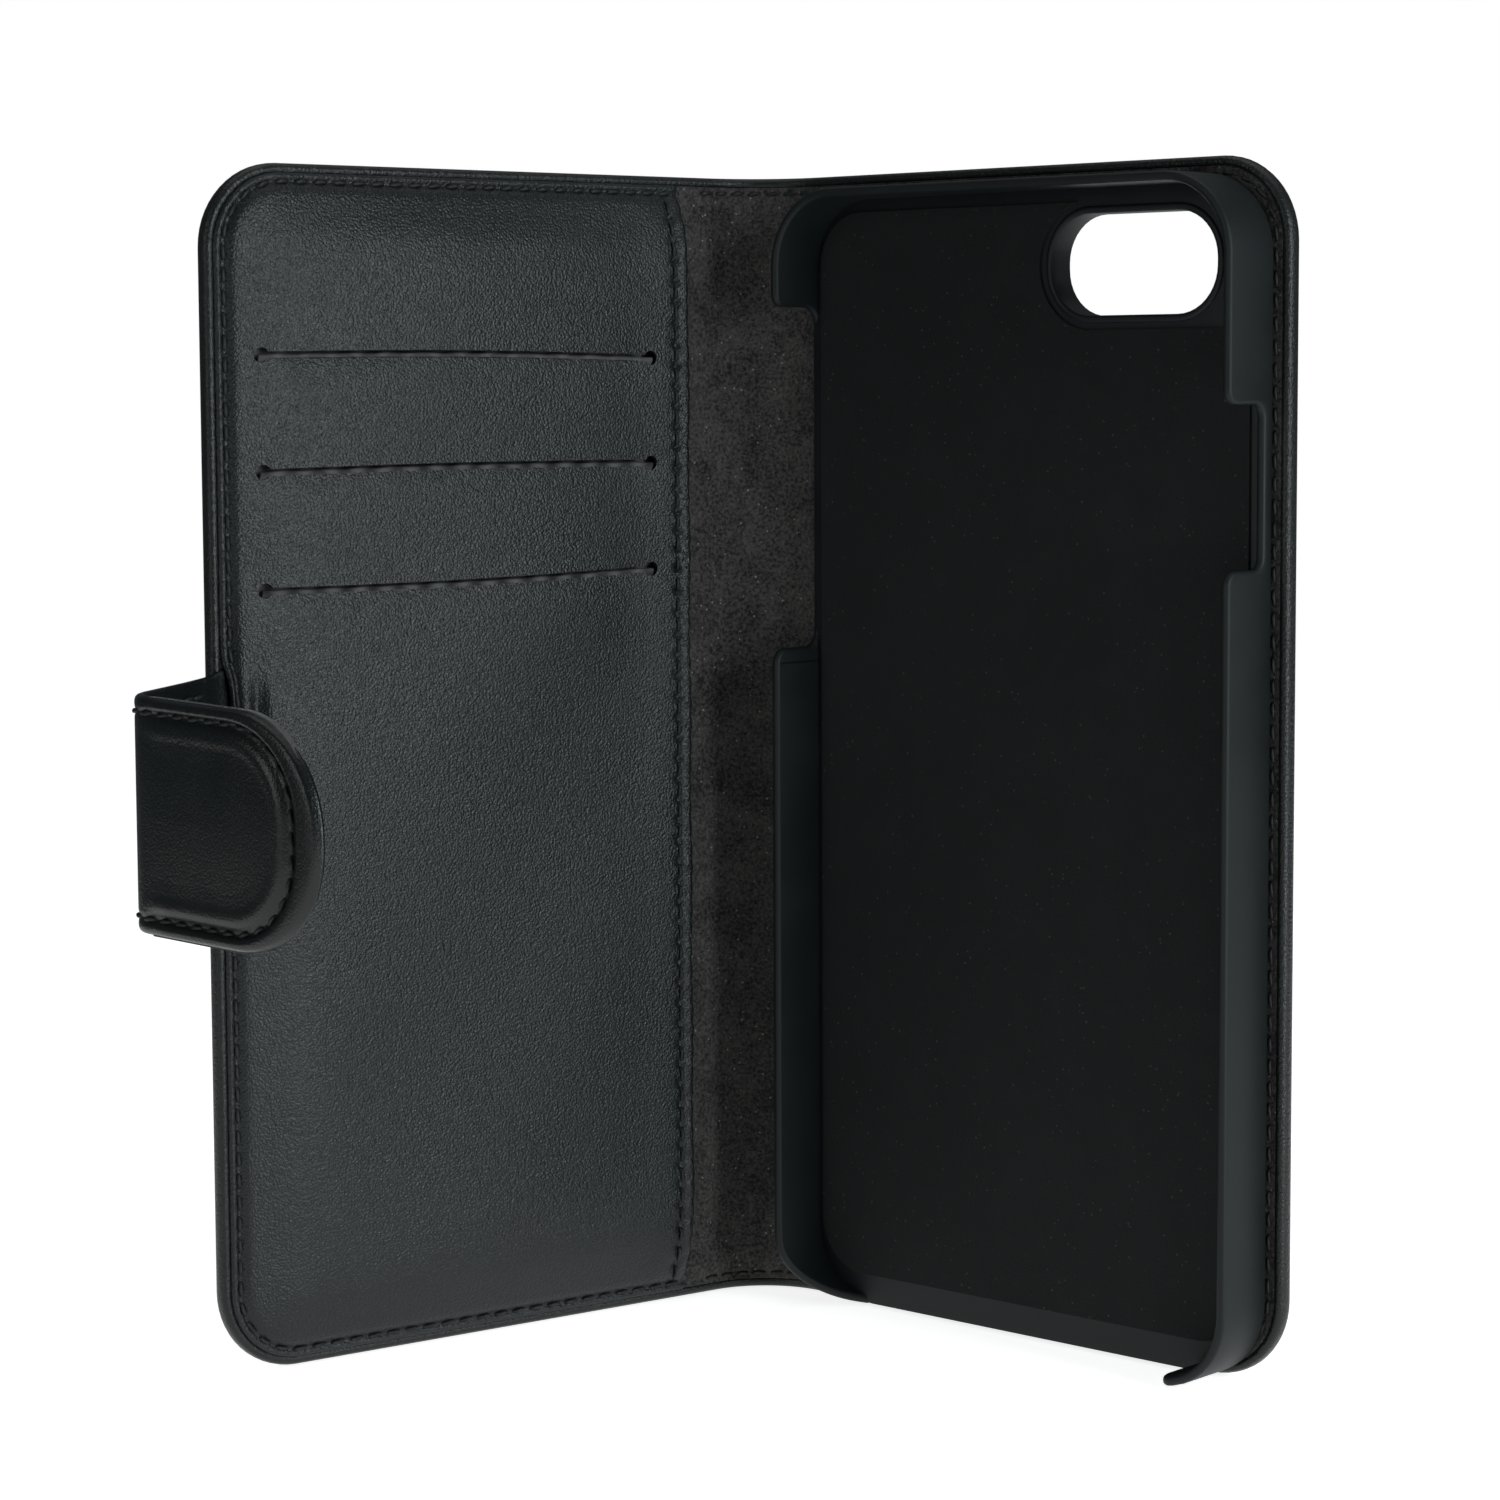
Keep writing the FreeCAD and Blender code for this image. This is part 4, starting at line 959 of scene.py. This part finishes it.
SINK = 0.42
neck_s = np.r_[np.linspace(-5.8, S_SPLIT, 48)]
verts, faces = [], []
for s in neck_s:
    flare = 0.9 * math.exp(-max(s + 2.6, 0) / 1.5)
    tuck = min(max((0.2 - s) / 2.8, 0), 1)
    thick = 1.4 - 0.55 * tuck
    for off, h, kind in strap_section(flare, thick):
        if kind in "oi":
            k = seam_dip(h, 0.15, HALF + flare)
            off = off + (k if kind == "o" else -k)
        verts.append((s, off - SINK * tuck - 0.75 * min(max((-2.7 - s) / 2.2, 0), 1), h))
m = len(strap_section())
for i in range(len(neck_s) - 1):
    faces += [(i * m + j, i * m + (j + 1) % m, (i + 1) * m + (j + 1) % m, (i + 1) * m + j) for j in range(m)]
faces += [tuple(range(m)), tuple(range((len(neck_s) - 1) * m, len(neck_s) * m))]
verts = np.array(verts)
neck = new_object("strap_neck_leather", place_strap(verts[:, 0], verts[:, 1], verts[:, 2]), faces, M_STRAP, 45)

# the tab: from the middle of the neck round the bend to the D end, padded
S_TIP = STRAP[np.argmin(np.hypot(STRAP[:, 1] - TIP[0], STRAP[:, 2] - TIP[1])), 0]
S_OUT = S_TIP + TAB_L - 0.6
ts = spread(S_SPLIT - 0.05, S_OUT - TAB_R, 0.7, tuple(np.arange(S_TIP - 4, S_TIP + 4, 0.35)))
hs = spread(-HALF + TAB_R, HALF - TAB_R, 0.28)
outer_p = np.array([(0, 0.0), (0.10, 0.34), (0.3, 0.64), (0.6, 0.92), (1.0, 1.08), (1.4, 1.02), (1.9, 0.70), (2.3, 0.36), (2.7, 0.46),
                    (3.2, 0.88), (3.8, 1.22), (4.4, 1.24), (5.2, 1.04), (6.5, 1.02), (9.0, 1.16), (13.0, 1.24)])
inner_p = np.array([(0, 0.0), (0.10, 0.30), (0.3, 0.50), (0.6, 0.64), (1.0, 0.70), (1.9, 0.62), (2.3, 0.52), (2.7, 0.60),
                    (3.2, 0.78), (4.2, 0.92), (6.5, 1.0), (13.0, 1.05)])
rd = [0.0, 0.05, 0.12, 0.22, 0.35, 0.5] + list(np.arange(0.7, 8.0, 0.24)) + [8.6, 9.6, 11.0, TAB_R]
verts, faces, layer = shell([(d, 0.0, d, 0.0) for d in rd], ts, hs, S_OUT, -HALF, HALF, TAB_R)
# the seam runs close to the straight edges and further in at the D end
SEAM_S, SEAM_H, SEAM_R = S_OUT - 4.5, HALF - SEAM, 9.6


def inside_seam(s, h):
    dx, dy = s - (SEAM_S - SEAM_R), np.abs(h) - (SEAM_H - SEAM_R)
    return SEAM_R - (np.hypot(np.maximum(dx, 0), np.maximum(dy, 0)) + np.minimum(np.maximum(dx, dy), 0))


d = edge_distance(verts[:, 0], verts[:, 2], S_OUT, -HALF, HALF, TAB_R)
q = inside_seam(verts[:, 0], verts[:, 2])
bulk = np.clip((verts[:, 0] - S_TIP - 0.5) / 5.0, 0, 1)
bulk = bulk * bulk * (3 - 2 * bulk)
rim = np.minimum(np.interp(d, (0, 0.10, 0.3, 0.6, 0.9), (0.0, 0.32, 0.56, 0.68, 0.70)), 0.70)
groove = 0.15 * np.exp(-(q / 0.42) ** 2)
thin = rim - groove
t = np.where(q < 0, d / np.maximum(d - q, 1e-6), 1.0)          # 0 at the edge, 1 at the seam
CROWN = 0.60
swell = np.where(t < CROWN, np.sqrt(np.clip(1 - (1 - t / CROWN) ** 2, 0, 1)), 0.5 + 0.5 * np.cos((t - CROWN) / (1 - CROWN) * math.pi))
band = 0.42 * np.minimum(d / 0.5, 1) ** 0.5 * np.clip(t / 0.15, 0, 1) + 0.78 * swell
pad = np.interp(q, (0, 0.35, 0.9, 1.5, 2.1, 3.0, 4.5, 8.0, 12.0), (0.42, 0.52, 0.95, 1.20, 1.22, 1.08, 1.06, 1.18, 1.24))
full_o = np.where(q < 0, band, pad)
full_i = np.where(q < 0, 0.85 * band, np.interp(q, (0, 0.5, 1.5, 4.0, 12.0), (0.42, 0.6, 0.85, 0.95, 1.02)))
wob = 0.05 * np.sin(verts[:, 0] * 0.9) * np.clip((q - 1) / 4, 0, 1)
off = np.where(layer == 0, -(thin + (full_o - thin) * bulk + wob * bulk), thin + (full_i - thin) * bulk)
tab = new_object("strap_tab_leather", place_strap(verts[:, 0], off, verts[:, 2]), faces, M_STRAP, 60)
root_v, tip_v = np.array(ROOT) * MM, np.array(TIP) * MM


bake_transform(neck)
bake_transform(tab)
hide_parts("strap_neck_outer", "strap_neck_inner", "strap_tail")
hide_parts("strap_tab_outer", "strap_tab_inner")

# ------------------------------------------------------------------ stitching
panel_seam = u_line(P0 + 0.6, P1, PV0, PV1, PR, 1.05)
st = stitches("front_stitches", [run_on("front", panel_seam, lambda u, v: panel_top(u, v) + 0.10)], M_THREAD, seed=3)
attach(st, "front_cover"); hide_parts("front_stitching")
st = stitches("hem_stitches", [run_on("front", [(HEM_SEAM + 0.1, PV1 - 1.6), (HEM_SEAM, 70), (HEM_SEAM - 0.1, PV0 + 1.4)],
                                      lambda u, v: panel_top(u, v) + 0.10)], M_THREAD, seed=4)
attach(st, "front_cover"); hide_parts("panel_hem_stitching")
st = stitches("front_stitches_outside", [run_on("front", u_line(BLEND_IN + 0.3, W_COVER, 0, H_COVER, R_CORNER, 1.62), -2.12, -1)], M_THREAD, seed=5)
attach(st, "front_cover")
back_seam = u_line(BLEND_IN + 0.3, W_COVER, 0, H_COVER, R_CORNER, 1.95)
st = stitches("back_stitches", [run_on("back", back_seam, -0.02)], M_THREAD, seed=6)
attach(st, "back_cover"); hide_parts("back_stitching")
st = stitches("back_stitches_outside", [run_on("back", u_line(BLEND_IN + 0.3, W_COVER, 0, H_COVER, R_CORNER, 1.62), -2.12, -1)], M_THREAD, seed=7)
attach(st, "back_cover")
for side in ("back", "front"):
    runs = []
    for v, in ((1.95,), (H_COVER - 1.95,)):
        runs.append(run_on(side, [(U_MID + 0.1, v), (BLEND_IN, v)], -0.02))
    for v, in ((1.62,), (H_COVER - 1.62,)):
        runs.append(run_on(side, [(U_MID + 0.1, v), (BLEND_IN, v)], -2.12, -1))
    st = stitches("spine_stitches_" + side, runs, M_THREAD, seed=8)
    across_fold(st)
    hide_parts("spine_stitching")


def strap_run(s0, s1, face, tab_end):
    """A seam along the strap's edge; face is -1 for the outer face and 1 for the inner."""
    if tab_end:
        pts = u_line(s0, SEAM_S, -SEAM_H, SEAM_H, SEAM_R, 0.0)
    else:
        return [strap_line([(s0, HALF - SEAM), (s1, HALF - SEAM)], face),
                strap_line([(s0, -HALF + SEAM), (s1, -HALF + SEAM)], face)]
    return [strap_line(pts, face)]


def strap_line(pts, face):
    pts = np.array(pts, float)
    seg = np.r_[0, np.cumsum(np.hypot(*np.diff(pts, axis=0).T))]

    def at(t):
        q = np.asarray(t) * seg[-1]
        return np.interp(q, seg, pts[:, 0]), np.interp(q, seg, pts[:, 1])

    def path(t):
        s, h = at(t)
        k = np.clip((s - S_TIP - 0.5) / 5.0, 0, 1)
        deep = 0.55 + (0.42 - 0.55) * k * k * (3 - 2 * k) if face < 0 else 0.55 - 0.03 * k
        return place_strap(s, face * (deep + 0.10), h)

    def normal(t):
        s, h = at(t)
        n = place_strap(s, face * 1.0, h) - place_strap(s, 0.0, h)
        return n / np.linalg.norm(n, axis=1)[:, None]

    return path, seg[-1], normal


runs = strap_run(-1.6, S_SPLIT, -1, False) + strap_run(0.6, S_SPLIT, 1, False)
st = stitches("neck_stitches", runs, M_THREAD, 2.5, 1.85, seed=9)
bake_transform(st)
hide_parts("strap_neck_stitching")
runs = strap_run(S_SPLIT, 0, -1, True) + strap_run(S_SPLIT, 0, 1, True)
st = stitches("tab_stitches", runs, M_THREAD, 2.5, 1.85, width=0.56, seed=10)
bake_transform(st)
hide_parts("strap_tab_stitching")

# ------------------------------------------------------------------ stage, light and camera
low = Vector(CAD_BOX[0])


def stage_plane(name, corners, material):
    me = bpy.data.meshes.new(name)
    me.from_pydata(corners, [], [tuple(range(len(corners)))])
    ob = bpy.data.objects.new(name, me)
    scene.collection.objects.link(ob)
    me.materials.append(material)
    return ob


m, nt, b, co = tree("pale_floor")
shade = noise(nt, co, 400.0, 2.0)
nt.links.new(ramp(nt, shade, ((0.3, (0.90, 0.90, 0.90)), (0.7, (0.93, 0.93, 0.93)))), b.inputs["Base Color"])
b.inputs["Roughness"].default_value = 0.9
b.inputs["Specular IOR Level"].default_value = 0.1
b.inputs["Emission Color"].default_value = (1, 1, 1, 1)
b.inputs["Emission Strength"].default_value = 0.80
z0 = low.z - 0.0002
stage_plane("floor", [(-0.26, -0.60, z0), (0.42, -0.60, z0), (0.42, 0.9, z0), (-0.26, 0.9, z0)], m)

world = bpy.data.worlds.new("studio")
scene.world = world
world.use_nodes = True
wn_ = world.node_tree
bg = wn_.nodes["Background"] if "Background" in wn_.nodes else wn_.nodes.new("ShaderNodeBackground")
path_ = wn_.nodes.new("ShaderNodeLightPath")
mixc = wn_.nodes.new("ShaderNodeMix"); mixc.data_type = "RGBA"
wn_.links.new(path_.outputs["Is Camera Ray"], mixc.inputs["Factor"])
mixc.inputs[6].default_value = (0.085, 0.095, 0.10, 1)
mixc.inputs[7].default_value = (1.0, 1.0, 1.0, 1)
wn_.links.new(mixc.outputs[2], bg.inputs["Color"])
bg.inputs["Strength"].default_value = 1.0


def area(name, loc, target, size, power, color=(1, 1, 1)):
    l = bpy.data.lights.new(name, "AREA")
    l.shape = "RECTANGLE"
    l.size, l.size_y = size
    l.energy = power
    l.color = color
    ob = bpy.data.objects.new(name, l)
    ob.location = loc
    ob.rotation_euler = (Vector(target) - Vector(loc)).to_track_quat("-Z", "Y").to_euler()
    scene.collection.objects.link(ob)
    return ob


aim = (0.0, 0.0, 0.075)
area("key_right", (0.79, -0.62, 0.24), aim, (0.30, 0.60), 8.2, (0.93, 0.985, 1.0))
area("side_right", (0.98, -0.20, 0.46), aim, (0.40, 0.40), 0.5, (0.90, 0.93, 1.0))
area("top_soft", (0.05, 0.10, 1.15), aim, (1.2, 1.2), 4.2, (1.0, 1.0, 1.0))
area("fill_left", (-0.72, -0.66, 0.32), aim, (0.30, 0.50), 1.6, (0.97, 1.0, 0.99))

cam_data = bpy.data.cameras.new("camera")
cam = bpy.data.objects.new("camera", cam_data)
scene.collection.objects.link(cam)
cam_data.sensor_width = 36.0
cam_data.sensor_fit = "HORIZONTAL"
cam_data.lens = 3801.9 / 1500 * 36.0
cam_data.clip_start = 0.01
cam_data.clip_end = 20
y_, t_, r_ = math.radians(-2.99354), math.radians(5.40716), math.radians(-0.26603)
fwd = Vector((math.sin(y_) * math.cos(t_), math.cos(y_) * math.cos(t_), -math.sin(t_)))
right = fwd.cross(Vector((0, 0, 1))).normalized()
up = right.cross(fwd)
r2 = right * math.cos(r_) + up * math.sin(r_)
u2 = -right * math.sin(r_) + up * math.cos(r_)
mat = Matrix((r2, u2, -fwd)).transposed().to_4x4()
mat.translation = Vector((0.02581, -0.44481, 0.11632))
cam.matrix_world = mat
scene.camera = cam
scene.view_settings.view_transform = "Standard"
scene.view_settings.look = "None"
scene.view_settings.exposure = 0.0
scene.view_settings.gamma = 1.0
